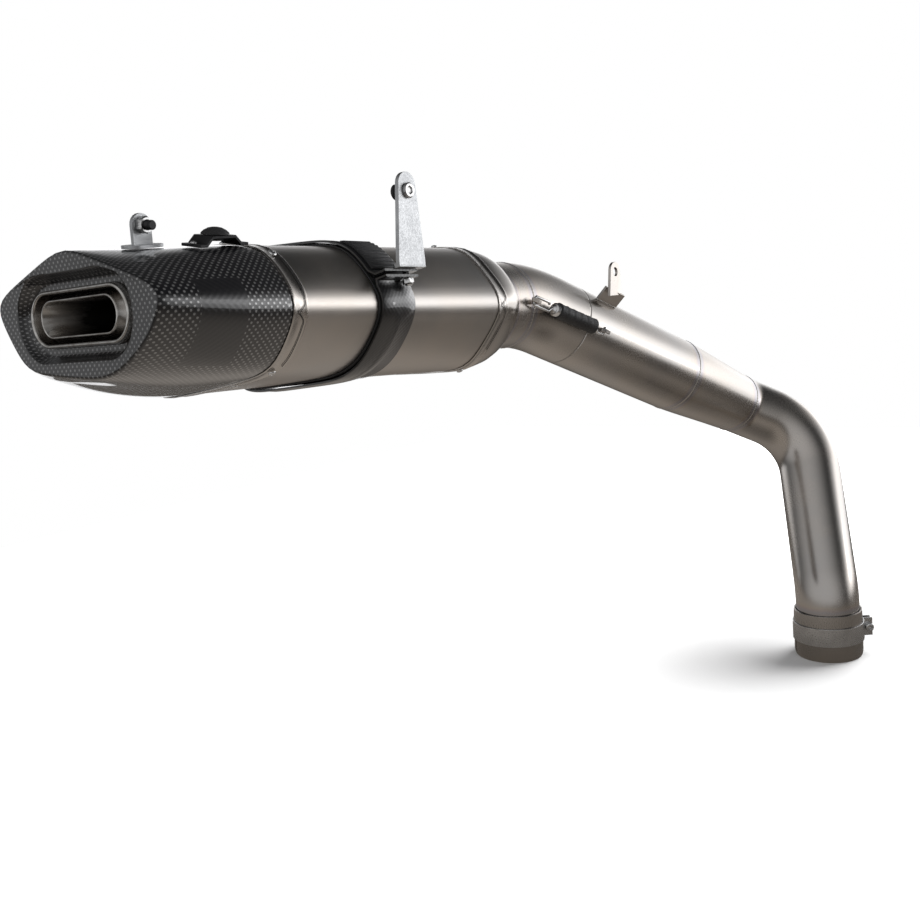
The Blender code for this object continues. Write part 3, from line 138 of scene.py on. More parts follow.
# ---------------------------------------------------------------- materials
class Finish:
    """A Principled material whose nodes are added one call at a time."""

    def __init__(self, name, colour, roughness, metallic=0.0):
        self.material = bpy.data.materials.new(name)
        self.material.use_nodes = True
        self.tree = self.material.node_tree
        self.shader = self.tree.nodes["Principled BSDF"]
        self.set("Base Color", (*colour, 1.0))
        self.set("Roughness", roughness)
        self.set("Metallic", metallic)

    def set(self, socket, value):
        if isinstance(value, bpy.types.NodeSocket):
            self.tree.links.new(value, self.shader.inputs[socket])
        else:
            self.shader.inputs[socket].default_value = value

    def feed(self, node, index, value):
        if isinstance(value, bpy.types.NodeSocket):
            self.tree.links.new(value, node.inputs[index])
        else:
            node.inputs[index].default_value = value

    def place(self, scale=(1, 1, 1), turn=(0, 0, 0), shift=(0, 0, 0), source="Object"):
        coordinates = self.tree.nodes.new("ShaderNodeTexCoord")
        mapping = self.tree.nodes.new("ShaderNodeMapping")
        mapping.inputs["Location"].default_value = shift
        mapping.inputs["Rotation"].default_value = [math.radians(a) for a in turn]
        mapping.inputs["Scale"].default_value = scale
        self.tree.links.new(coordinates.outputs[source], mapping.inputs["Vector"])
        return mapping.outputs["Vector"]

    def noise(self, where, scale, detail=4.0, rough=0.55):
        node = self.tree.nodes.new("ShaderNodeTexNoise")
        self.tree.links.new(where, node.inputs["Vector"])
        node.inputs["Scale"].default_value = scale
        node.inputs["Detail"].default_value = detail
        node.inputs["Roughness"].default_value = rough
        return node.outputs["Fac"]

    def sum(self, operation, first, second=0.0, third=0.0):
        node = self.tree.nodes.new("ShaderNodeMath")
        node.operation = operation
        for index, value in enumerate((first, second, third)):
            self.feed(node, index, value)
        return node.outputs["Value"]

    def axis(self, where, way):
        """Distance along a direction."""
        node = self.tree.nodes.new("ShaderNodeVectorMath")
        node.operation = "DOT_PRODUCT"
        self.tree.links.new(where, node.inputs[0])
        node.inputs[1].default_value = way
        return node.outputs["Value"]

    def fit(self, value, low, high, to_low=0.0, to_high=1.0, smooth=False):
        node = self.tree.nodes.new("ShaderNodeMapRange")
        node.interpolation_type = "SMOOTHSTEP" if smooth else "LINEAR"
        for index, item in enumerate((value, low, high, to_low, to_high)):
            self.feed(node, index, item)
        return node.outputs["Result"]

    def ramp(self, factor, stops):
        node = self.tree.nodes.new("ShaderNodeValToRGB")
        elements = node.color_ramp.elements
        for extra in range(len(stops) - 2):
            elements.new(0.5)
        for element, (position, colour) in zip(elements, stops):
            element.position = position
            element.color = (*colour, 1.0)
        self.tree.links.new(factor, node.inputs["Fac"])
        return node.outputs["Color"]

    def mix(self, factor, first, second):
        node = self.tree.nodes.new("ShaderNodeMix")
        node.data_type = "RGBA"
        for index, value in ((0, factor), (6, first), (7, second)):
            self.feed(node, index, value)
        return node.outputs[2]

    def bump(self, height, strength, distance):
        node = self.tree.nodes.new("ShaderNodeBump")
        node.inputs["Strength"].default_value = strength
        node.inputs["Distance"].default_value = distance
        self.tree.links.new(height, node.inputs["Height"])
        self.set("Normal", node.outputs["Normal"])


def rgb(red, green, blue):
    return (red, green, blue, 1.0)


def satin_titanium(name, way, tone=1.0, rough=0.22):
    """Satin titanium with a fine grain drawn out along `way`, and cloudy warm and cool patches."""
    look = Finish(name, (0.44 * tone, 0.42 * tone, 0.40 * tone), rough, 1.0)
    stretch = [260 if abs(part) > 0.5 else 2600 for part in way]
    grain = look.noise(look.place(scale=stretch), 1.0, 3.0)
    cloud = look.noise(look.place(), 14.0, 3.0)
    warm = tuple(c * tone for c in (0.50, 0.46, 0.42))
    cool = tuple(c * tone for c in (0.43, 0.415, 0.40))
    look.set("Base Color", look.ramp(cloud, ((0.3, cool), (0.7, warm))))
    mottle = look.fit(cloud, 0.3, 0.7, rough - 0.03, rough + 0.04)
    look.set("Roughness", look.sum("ADD", mottle, look.fit(grain, 0.3, 0.7, -0.02, 0.03)))
    look.bump(grain, 0.010, 0.0001)
    return look


def weld_heat(look, point, way, reach, base):
    """Straw, violet and blue rings that fade out on both sides of a weld's plane."""
    along = look.sum("SUBTRACT", look.axis(look.place(), way), point.dot(way))
    wander = look.fit(look.noise(look.place(), 60.0, 2.0), 0.0, 1.0, -0.0018, 0.0018)
    away = look.sum("ABSOLUTE", look.sum("ADD", along, wander))
    share = look.fit(away, 0.0008, reach)
    rings = look.ramp(share, ((0.0, (0.30, 0.30, 0.32)), (0.18, (0.27, 0.29, 0.38)),
                              (0.40, (0.36, 0.29, 0.33)), (0.62, (0.50, 0.40, 0.27)),
                              (1.0, (0.47, 0.44, 0.41))))
    strength = look.fit(share, 0.0, 1.0, 0.42, 0.0, True)
    return look.mix(strength, base, rings)


def tube_titanium(name, welds):
    look = satin_titanium(name, (0, 0, 1), 0.96, 0.25)
    colour = look.shader.inputs["Base Color"].links[0].from_socket
    for point, way in welds:
        colour = weld_heat(look, point, way, 0.012, colour)
    look.set("Base Color", colour)
    return look


def weave(look, where, pitch):
    """Plain weave: 1 on the tow that lies uppermost, 0 between."""
    separate = look.tree.nodes.new("ShaderNodeSeparateXYZ")
    look.tree.links.new(where, separate.inputs[0])
    turns = 2 * math.pi / pitch
    first = look.sum("COSINE", look.sum("MULTIPLY", separate.outputs[0], turns))
    second = look.sum("COSINE", look.sum("MULTIPLY", separate.outputs[1], turns))
    return look.sum("MULTIPLY", first, second), separate


def carbon(name, pitch, source="UV", turn=(0, 0, 0), glint=0.33):
    """Lacquered carbon cloth: bright tows on black, under a hard clear coat."""
    look = Finish(name, (0.01, 0.01, 0.011), 0.28)
    where = look.place(turn=turn, source=source)
    over, separate = weave(look, where, pitch)
    uneven = look.noise(where, 140.0, 2.0)
    edge = look.fit(uneven, 0.2, 0.8, 0.12, 0.40)
    tow = look.fit(over, edge, 0.85, 0.0, 1.0, True)
    shade = look.fit(look.noise(where, 24.0, 2.0), 0.25, 0.75, 0.55, 1.0)
    tow = look.sum("MULTIPLY", tow, shade)
    look.set("Base Color", look.mix(tow, rgb(0.004, 0.004, 0.005), rgb(glint, glint, glint)))
    look.set("Metallic", look.sum("MULTIPLY", tow, 0.9))
    look.set("Coat Weight", 1.0)
    look.set("Coat Roughness", 0.03)
    look.bump(over, 0.25, 0.0002)
    return look, separate


def blasted_aluminium(name):
    look = Finish(name, (0.56, 0.57, 0.58), 0.42, 1.0)
    grain = look.noise(look.place(), 900.0, 3.0)
    stain = look.noise(look.place(), 70.0, 4.0)
    look.set("Base Color", look.ramp(stain, ((0.3, (0.40, 0.41, 0.42)), (0.7, (0.54, 0.55, 0.56)))))
    look.set("Roughness", look.fit(grain, 0.3, 0.7, 0.36, 0.52))
    look.bump(grain, 0.25, 0.0004)
    return look


def machined_steel(name, tone=0.66):
    look = Finish(name, (tone, tone, tone), 0.22, 1.0)
    grain = look.noise(look.place(scale=(1500, 1500, 1500)), 1.0, 2.0)
    look.set("Roughness", look.fit(grain, 0.3, 0.7, 0.16, 0.32))
    look.set("Base Color", look.ramp(look.noise(look.place(), 120.0), (
        (0.3, (tone * 0.82,) * 3), (0.7, (tone,) * 3))))
    return look


def black_oxide(name):
    look = Finish(name, (0.020, 0.020, 0.021), 0.38, 0.7)
    grain = look.noise(look.place(), 700.0, 3.0)
    look.set("Roughness", look.fit(grain, 0.3, 0.7, 0.30, 0.48))
    look.set("Base Color", look.ramp(look.noise(look.place(), 90.0), (
        (0.35, (0.012, 0.012, 0.013)), (0.75, (0.040, 0.040, 0.042)))))
    look.bump(grain, 0.15, 0.0003)
    return look


def rubber(name):
    look = Finish(name, (0.016, 0.016, 0.017), 0.62)
    grain = look.noise(look.place(), 800.0, 3.0)
    look.set("Roughness", look.fit(grain, 0.3, 0.7, 0.50, 0.72))
    look.set("Base Color", look.ramp(look.noise(look.place(), 60.0), (
        (0.3, (0.010, 0.010, 0.011)), (0.8, (0.026, 0.026, 0.027)))))
    look.bump(grain, 0.20, 0.0003)
    return look


def depth_shaded_titanium(name, rough=0.30):
    """Painted shade: bright at the mouth, darker and browner with depth along the muffler, near black about 3
    cm in.
    """
    look = Finish(name, (0.42, 0.40, 0.38), rough, 1.0)
    way = MUFFLER_MATRIX.to_3x3() @ Vector((0, 1, 0))
    mouth = MUFFLER_MATRIX @ Vector((MUFFLER_X, FACE_Y, OUTLET_Z))
    depth = look.sum("SUBTRACT", look.axis(look.place(), way), mouth.dot(way))
    smear = look.fit(look.noise(look.place(scale=(60, 9, 60)), 3.0, 4.0), 0.2, 0.8, -0.010, 0.010)
    share = look.fit(look.sum("ADD", depth, smear), 0.001, 0.032)
    # Painted shade deepening into the outlet, from bare titanium at the mouth to near black.
    look.set("Base Color", look.ramp(share, ((0.0, (0.52, 0.51, 0.49)), (0.30, (0.30, 0.28, 0.26)),
                                             (1.0, (0.022, 0.020, 0.018)))))
    look.set("Roughness", look.fit(share, 0.0, 1.0, rough, 0.55))
    look.bump(look.noise(look.place(), 400.0), 0.10, 0.0002)
    return look


def packing_wool(name):
    look = Finish(name, (0.50, 0.43, 0.32), 0.95)
    fibre = look.noise(look.place(scale=(900, 120, 900)), 1.0, 6.0)
    look.set("Base Color", look.ramp(fibre, ((0.3, (0.28, 0.23, 0.16)), (0.7, (0.60, 0.52, 0.40)))))
    look.bump(fibre, 0.8, 0.001)
    return look


# ---------------------------------------------------------------- mesh tools
def shade(thing, angle=40.0):
    thing.data.shade_smooth()
    thing.data.set_sharp_from_angle(angle=math.radians(angle))


def shown(name, bm, look, body, stands_for=(), angle=40.0):
    """Make a piece of the mesh, finish it, and let it ride on its body."""
    mesh = bpy.data.meshes.new(name)
    bm.to_mesh(mesh)
    bm.free()
    thing = bpy.data.objects.new(name, mesh)
    bpy.context.scene.collection.objects.link(thing)
    thing.data.materials.append(look.material)
    shade(thing, angle)
    if body:
        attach(thing, body)
    if stands_for:
        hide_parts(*stands_for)
    return thing


def edges_round(bm, loop):
    return [bm.edges.get((loop[i], loop[(i + 1) % len(loop)])) for i in range(len(loop))]


def grow(bm, loop, points):
    """Extrude a closed loop of vertices and move the new loop to the points."""
    made = bmesh.ops.extrude_edge_only(bm, edges=edges_round(bm, loop))["geom"]
    fresh = {item for item in made if isinstance(item, bmesh.types.BMVert)}
    following = []
    for vert in loop:
        following.append(next(e.other_vert(vert) for e in vert.link_edges if e.other_vert(vert) in fresh))
    for vert, point in zip(following, points):
        vert.co = point
    return following


def skin(rings, ends="closed"):
    """A mesh grown ring by ring; its ends meet, are filled, or stay open."""
    bm = bmesh.new()
    loop = bmesh.ops.create_circle(bm, segments=len(rings[0]), radius=1.0)["verts"]
    for vert, point in zip(loop, rings[0]):
        vert.co = point
    first = loop
    for ring in rings[1:]:
        loop = grow(bm, loop, ring)
    if ends == "closed":
        bmesh.ops.bridge_loops(bm, edges=edges_round(bm, first) + edges_round(bm, loop))
    elif ends == "filled":
        bmesh.ops.edgeloop_fill(bm, edges=edges_round(bm, first))
        bmesh.ops.edgeloop_fill(bm, edges=edges_round(bm, loop))
    bmesh.ops.recalc_face_normals(bm, faces=bm.faces)
    return bm


def frame_matrix(origin, along, side):
    z = Vector(along).normalized()
    x = (Vector(side) - z * z.dot(Vector(side))).normalized()
    return Matrix.Translation(origin) @ Matrix((x, z.cross(x), z)).transposed().to_4x4()


def circle(radius, count, hexed=False):
    points = []
    for i in range(count):
        turn = 2 * math.pi * i / count
        reach = radius
        if hexed:
            reach = radius / math.cos((turn % (math.pi / 3)) - math.pi / 6)
        points.append((reach * math.cos(turn), reach * math.sin(turn)))
    return points


def revolved(profile, place, steps=36, ends="filled"):
    """Rings of (radius, height), or (half the width across flats, height, True) for a hexagon."""
    rings = []
    for radius, height, *hexed in profile:
        points = circle(max(radius, 0.00004), steps, bool(hexed))
        rings.append([place @ Vector((x, y, height)) for x, y in points])
    return skin(rings, ends)


def filleted(corners, radii, step=0.004):
    route = [corners[0]]
    for before, corner, after, radius in zip(corners, corners[1:], corners[2:], radii):
        into = (corner - before).normalized()
        out = (after - corner).normalized()
        angle = into.angle(out)
        normal = (out - into * into.dot(out)).normalized()
        start = corner - into * radius * math.tan(angle / 2)
        count = max(6, round(radius * angle / step))
        for i in range(count + 1):
            turn = angle * i / count
            route.append(start + into * radius * math.sin(turn) + normal * radius * (1 - math.cos(turn)))
    route.append(corners[-1])
    return route


def along(route, side=Vector((1, 0, 0))):
    """Frames down a route, carried without twist."""
    frames = []
    for i, centre in enumerate(route):
        into = (centre - route[max(i - 1, 0)]).normalized()
        out = (route[min(i + 1, len(route) - 1)] - centre).normalized()
        frames.append(frame_matrix(centre, into + out, side))
        side = frames[-1].col[0].to_3d()
    return frames


def tube_rings(route, radii, count=TUBE_FINE):
    rings = []
    for place, radius in zip(along(route), radii):
        rings.append([place @ Vector((x, y, 0)) for x, y in circle(radius, count)])
    return rings


def tube(route, radii, wall, count=TUBE_FINE):
    outer = tube_rings(route, radii, count)
    inner = tube_rings(route, [r - wall for r in radii], count)
    return skin(outer + inner[::-1])


def weld_bead(name, centre, way, radius, body, look, width=0.0022, height=0.0008, ripples=70):
    """A rippled bead of filler round a tube's seam."""
    place = frame_matrix(centre, way, Vector((0, 0, 1)))
    count = ripples * 4
    section = 10
    rings = []
    for i in range(section):
        turn = 2 * math.pi * i / section
        ring = []
        for j in range(count):
            around = 2 * math.pi * j / count
            ripple = math.sin(ripples * around + 1.2 * math.cos(turn))
            swell = 1 + 0.16 * ripple + 0.05 * math.sin(3 * around)
            out = radius - 0.0002 + height * swell * math.cos(turn)
            ring.append(place @ Vector((out * math.cos(around), out * math.sin(around),
                                        width * 0.5 * swell * math.sin(turn))))
        rings.append(ring)
    return shown(name, skin(rings), look, body, angle=80)


def wire(name, points, radius, look, body, stands_for=(), cyclic=False):
    """A round wire that bends smoothly through its points."""
    curve = bpy.data.curves.new(name, "CURVE")
    curve.dimensions = "3D"
    curve.bevel_depth = radius
    curve.bevel_resolution = 4
    curve.use_fill_caps = not cyclic
    spline = curve.splines.new("POLY")
    smooth_points = eased(points)
    spline.points.add(len(smooth_points) - 1)
    for point, place in zip(spline.points, smooth_points):
        point.co = (*place, 1.0)
    spline.use_smooth = True
    thing = bpy.data.objects.new(name, curve)
    bpy.context.scene.collection.objects.link(thing)
    curve.materials.append(look.material)
    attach(thing, body)
    if stands_for:
        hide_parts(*stands_for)
    return thing


def eased(points, cuts=6):
    """Points on the smooth curve that passes through the given ones."""
    padded = [points[0] * 2 - points[1], *points, points[-1] * 2 - points[-2]]
    smooth_points = []
    for a, b, c, d in zip(padded, padded[1:], padded[2:], padded[3:]):
        for i in range(cuts):
            t = i / cuts
            smooth_points.append(0.5 * (b * 2 + (c - a) * t + (a * 2 - b * 5 + c * 4 - d) * t ** 2
                                        + (b * 3 - a - c * 3 + d) * t ** 3))
    return smooth_points + [points[-1]]


def merged(name):
    """A merged copy of a CAD node's mesh with its flat faces whole."""
    bm = bmesh.new()
    bm.from_mesh(NODES[name].data)
    bmesh.ops.remove_doubles(bm, verts=bm.verts, dist=0.00001)
    bmesh.ops.dissolve_limit(bm, angle_limit=math.radians(1.0), verts=bm.verts, edges=bm.edges)
    return bm


def crisp(name, look, body, width=0.0004, piece=None):
    """The CAD node with its hard edges broken."""
    thing = shown(piece or name + "_finished", merged(name), look, body, (name,), 30)
    bevel = thing.modifiers.new("broken_edges", "BEVEL")
    bevel.width = width
    bevel.segments = 2
    bevel.limit_method = "ANGLE"
    bevel.angle_limit = math.radians(35)
    bevel.harden_normals = False
    return thing


def turned_frame(name):
    """A turned CAD node's axis frame at its wide end, and its rings as (distance, radius)."""
    bm = merged(name)
    total = {}
    for face in bm.faces:
        key = tuple(round(part, 2) for part in face.normal)
        area, normal = total.get(key, (0.0, Vector()))
        total[key] = (area + face.calc_area(), normal + face.normal * face.calc_area())
    axis = max(total.values(), key=lambda item: item[0])[1].normalized()
    points = [v.co.copy() for v in bm.verts]
    bm.free()
    low, high = min(p.dot(axis) for p in points), max(p.dot(axis) for p in points)
    rims = [[p for p in points if abs(p.dot(axis) - level) < 0.0004] for level in (low, high)]
    centre = sum(points, Vector()) / len(points)
    spread = [max((p - centre - axis * (p - centre).dot(axis)).length for p in rim) for rim in rims]
    if spread[0] > spread[1]:
        axis, low, high = -axis, -high, -low
    centre += axis * (high - centre.dot(axis))
    rings = sorted({(round(high - p.dot(axis), 5),
                     round((p - centre - axis * (p - centre).dot(axis)).length, 5)) for p in points})
    side = Vector((0, 0, 1)) if abs(axis.z) < 0.8 else Vector((0, 1, 0))
    return frame_matrix(centre, axis, side), rings


# ---------------------------------------------------------------- the muffler's outlines
def sided_radius(angle, sides):
    total = 0.0
    for direction, distance in sides:
        facing = math.cos(angle - math.radians(direction))
        if facing > 0:
            total += (facing / distance) ** CORNER_SHARPNESS
    return total ** (-1 / CORNER_SHARPNESS)


def outline(sides, width, height, count=FINE):
    raw = []
    for i in range(count):
        turn = 2 * math.pi * i / count
        angle = math.atan2(height * math.sin(turn), width * math.cos(turn))
        radius = sided_radius(angle, sides)
        raw.append((radius * math.cos(angle), radius * math.sin(angle)))
    low_x, high_x = min(x for x, z in raw), max(x for x, z in raw)
    low_z, high_z = min(z for x, z in raw), max(z for x, z in raw)
    scale_x, scale_z = width / (high_x - low_x), height / (high_z - low_z)
    return [((x - (low_x + high_x) / 2) * scale_x, (z - (low_z + high_z) / 2) * scale_z) for x, z in raw]


def stadium(width, height, count=FINE):
    half_flat, radius = (width - height) / 2, height / 2
    points = []
    for i in range(count):
        x, z = math.cos(2 * math.pi * i / count), math.sin(2 * math.pi * i / count)
        if abs(x) < FLAT_SHARE:
            points.append((half_flat * x / FLAT_SHARE, math.copysign(radius, z)))
        else:
            swing = math.asin(max(-1.0, min(1.0, z))) / math.acos(FLAT_SHARE) * math.pi / 2
            points.append((math.copysign(half_flat + radius * math.cos(swing), x), radius * math.sin(swing)))
    return points


def ring_at(y, points, x=MUFFLER_X, z=MUFFLER_Z):
    """A ring of points in the muffler's own frame."""
    return [Vector((x + px, y, z + pz)) for px, pz in points]


def body_outline(y, grow_by=0.0, count=FINE):
    share = (y - REAR_BAND_Y) / (FRONT_BAND_Y - REAR_BAND_Y)
    rear = outline(REAR_SIDES, BODY_WIDTH + 2 * grow_by, REAR_HEIGHT + 2 * grow_by, count)
    front = outline(FRONT_SIDES, BODY_WIDTH + 2 * grow_by, FRONT_HEIGHT + 2 * grow_by, count)
    return [(rx + (fx - rx) * share, rz + (fz - rz) * share) for (rx, rz), (fx, fz) in zip(rear, front)]


def body_ring(y, grow_by=0.0):
    return ring_at(y, body_outline(y, grow_by))


def in_place(rings):
    return [[MUFFLER_MATRIX @ p for p in ring] for ring in rings]


def cap_ring(share, grow_by, y):
    body = ring_at(y, outline(REAR_SIDES, BODY_WIDTH + 2 * grow_by, REAR_HEIGHT + 2 * grow_by))
    face = ring_at(y, outline(FACE_SIDES, FACE_WIDTH + 2 * grow_by, FACE_HEIGHT + 2 * grow_by),
                   MUFFLER_X + FACE_SHIFT, MUFFLER_Z + FACE_RISE)
    return [a.lerp(b, share ** 1.9) for a, b in zip(body, face)]


# ---------------------------------------------------------------- muffler shells
def lay_cloth(thing):
    """UVs in metres: length by girth on the cap's sides, flat on its rear face."""
    back = MUFFLER_MATRIX.inverted()
    layer = thing.data.uv_layers.new(name="cloth")
    turn_to_girth = girth_table()
    for face in thing.data.polygons:
        flat = (back.to_3x3() @ face.normal).y < -0.5
        girths = []
        for index in face.loop_indices:
            point = back @ thing.data.vertices[thing.data.loops[index].vertex_index].co
            if flat:
                layer.data[index].uv = (point.x - MUFFLER_X + FACE_CLOTH, point.z - MUFFLER_Z)
            else:
                girths.append(turn_to_girth(point))
        if flat:
            continue
        for index, girth in zip(face.loop_indices, girths):
            point = back @ thing.data.vertices[thing.data.loops[index].vertex_index].co
            if max(girths) - girth > 0.1:
                girth += turn_to_girth.girth
            layer.data[index].uv = (point.y - CAP_FRONT_Y, girth)


def girth_table():
    points = outline(REAR_SIDES, BODY_WIDTH, REAR_HEIGHT, 360)
    turns = [math.atan2(z, x) % (2 * math.pi) for x, z in points]
    lengths = [0.0]
    for (ax, az), (bx, bz) in zip(points, points[1:] + points[:1]):
        lengths.append(lengths[-1] + math.hypot(bx - ax, bz - az))

    def girth_at(point):
        turn = math.atan2(point.z - MUFFLER_Z, point.x - MUFFLER_X) % (2 * math.pi)
        nearest = min(range(len(turns)), key=lambda i: abs(turns[i] - turn))
        step = turn - turns[nearest]
        along = lengths[nearest] + step * math.hypot(*points[nearest])
        return along if along < lengths[-1] / 2 else along - lengths[-1]

    girth_at.girth = lengths[-1]
    return girth_at


def cap_cloth():
    """The end cap's carbon, with a plain black badge on its outer side."""
    look, separate = carbon("carbon_cap", 0.0044)
    length, girth = separate.outputs[0], separate.outputs[1]
    from_middle = look.sum("ABSOLUTE", look.sum("SUBTRACT", length, BADGE_FROM_BAND))
    across = look.sum("ABSOLUTE", look.sum("SUBTRACT", girth, BADGE_GIRTH))
    inside = look.sum("MULTIPLY",
                      look.fit(from_middle, BADGE_LENGTH / 2, BADGE_LENGTH / 2 + 0.0008, 1.0, 0.0),
                      look.fit(across, BADGE_HEIGHT / 2, BADGE_HEIGHT / 2 + 0.0008, 1.0, 0.0))
    colour = look.shader.inputs["Base Color"].links[0].from_socket
    metal = look.shader.inputs["Metallic"].links[0].from_socket
    look.set("Base Color", look.mix(inside, colour, rgb(0.008, 0.008, 0.009)))
    look.set("Metallic", look.sum("MULTIPLY", metal, look.sum("SUBTRACT", 1.0, inside)))
    return look


def make_end_cap():
    steps = 26
    shares = [0.94 * i / steps for i in range(steps + 1)]
    length = FACE_Y - CAP_FRONT_Y
    rings = [cap_ring(s, 0.0, CAP_FRONT_Y + length * s) for s in shares]
    edge = 0.0024
    for turn in EDGE_TURNS:
        inward = 1 - math.cos(math.radians(turn))
        forward = 1 - math.sin(math.radians(turn))
        rings.append(cap_ring(1.0, -edge * inward * 1.05, FACE_Y + 0.0001 + edge * forward))
    hole_w, hole_h = OUTLET_WIDTH + 2 * GAP, OUTLET_HEIGHT + 2 * GAP
    ridge, pocket = 0.0075, 0.009
    last = cap_ring(1.0, -edge * 1.1, FACE_Y + 0.0001)
    rim = ring_at(FACE_Y + 0.0008, stadium(hole_w + 2.3 * ridge, hole_h + 2.3 * ridge), z=OUTLET_Z)
    for share in (0.04, 0.25, 0.5, 0.75, 0.93, 1.0):
        rings.append([a.lerp(b, share) for a, b in zip(last, rim)])
    for grow_by, depth in ((2.22, 0.0010), (2.12, 0.0018), (2.0, 0.0030), (1.8, 0.0046), (1.5, 0.0066),
                           (1.15, 0.0083), (0.95, pocket)):
        rings.append(ring_at(FACE_Y + depth, stadium(hole_w + grow_by * ridge, hole_h + grow_by * ridge),
                             z=OUTLET_Z))
    rings.append(ring_at(FACE_Y + pocket, stadium(hole_w, hole_h), z=OUTLET_Z))
    rings.append(ring_at(FACE_Y + pocket + CAP_WALL, stadium(hole_w, hole_h), z=OUTLET_Z))
    for share in (0.88, 0.7, 0.45, 0.2, 0.0):
        rings.append(cap_ring(share, -CAP_WALL, CAP_FRONT_Y + length * share))
    cap = shown("carbon_end_cap", skin(in_place(rings)), cap_cloth(), "muffler", ("end_cap",), 50)
    lay_cloth(cap)


def shell(name, stations, low, high, look, node):
    rings = [body_ring(y, high) for y in stations] + [body_ring(y, low) for y in reversed(stations)]
    return shown(name, skin(in_place(rings)), look, "muffler", (node,))


def make_sleeve():
    look = satin_titanium("sleeve_titanium", (0, 1, 0), 1.0, 0.32)
    rings = [SLEEVE_REAR_Y + SLEEVE_LENGTH * i / 16 for i in range(17)]
    shell("titanium_sleeve", rings, -SHELL_WALL, 0.0, look, "sleeve")


def make_bands():
    """Each band is folded over at its edges and lapped in a notched joint on the outer side."""
    look = satin_titanium("band_titanium", (0, 0, 1), 1.06, 0.24)
    for node, y in (("rear_band", REAR_BAND_Y), ("front_band", FRONT_BAND_Y)):
        half = BAND_WIDTH / 2
        profile = ((-half, 0.0), (-half, 0.7), (-half + 0.0004, 1.0), (-half + 0.0018, 1.0),
                   (-half + 0.0023, 0.55), (half - 0.0023, 0.55), (half - 0.0018, 1.0),
                   (half - 0.0004, 1.0), (half, 0.7), (half, 0.0))
        rings = [body_ring(y + step, GAP + (BAND_WALL - 0.00025) * rise) for step, rise in profile]
        shown(node + "_folded", skin(in_place(rings)), look, "muffler", (node,))
        lap(node + "_lap", y, half)


def lap(name, y, half):
    """The dark line of a band's notched joint: out to a point and back, along the band's front edge."""
    look = Finish(name + "_shadow", (0.02, 0.02, 0.02), 0.6, 0.4)
    look.set("Roughness", look.fit(look.noise(look.place(), 300.0), 0.3, 0.7, 0.5, 0.7))
    out = GAP + BAND_WALL + 0.00012
    points = []
    for i in range(41):
        direction = -26 + 52 * i / 40
        notch = max(0.0, 1 - abs(direction) / 3.2) * 0.0042
        edge = y + half - 0.0030 - notch
        points.append(MUFFLER_MATRIX @ skin_point(direction, edge, out))
    wire(name, points, 0.00022, look, "muffler")


def skin_point(direction, y, out):
    """A point `out` above the muffler's skin in a polar direction, in the muffler's frame."""
    points = body_outline(y, out)
    turns = [(abs(math.atan2(z, x) - math.radians(direction)), (x, z)) for x, z in points]
    turns.sort()
    (first, a), (second, b) = turns[0], turns[1]
    share = first / (first + second) if first + second else 0.0
    return Vector((MUFFLER_X + a[0] + (b[0] - a[0]) * share, y, MUFFLER_Z + a[1] + (b[1] - a[1]) * share))


def make_cone():
    """The pressed dome between the front band and the inlet tube, with a rolled step behind it."""
    back_y = FRONT_BAND_Y + GAP / 2
    rim_y = back_y + BAND_WIDTH / 2
    bead = LINK_OD / 2 + GAP
    depth = CONE_FRONT_Y - rim_y

    def skin_rings(drop, steps):
        rings = [body_ring(back_y, -drop), body_ring(rim_y, -drop)]
        edge = body_ring(rim_y, -drop)
        neck = []
        for px, pz in body_outline(FRONT_BAND_Y):
            turn = math.atan2(pz * BODY_WIDTH / FRONT_HEIGHT, px)
            neck.append(Vector((bead * math.cos(turn), rim_y, bead * math.sin(turn))))
        for i in range(1, steps + 1):
            turn = math.pi / 2 * i / steps
            inward, forward = 1 - math.cos(turn), math.sin(turn)
            y = rim_y + depth * forward - drop
            rings.append([Vector((p.x, y, p.z)) for p in (a.lerp(b, inward) for a, b in zip(edge, neck))])
        return rings

    rings = skin_rings(0.0, 14) + skin_rings(SHELL_WALL, 8)[::-1]
    look = satin_titanium("cone_titanium", (0, 1, 0), 0.98, 0.20)
    shown("pressed_cone", skin(in_place(rings)), look, "muffler", ("inlet_cone",))


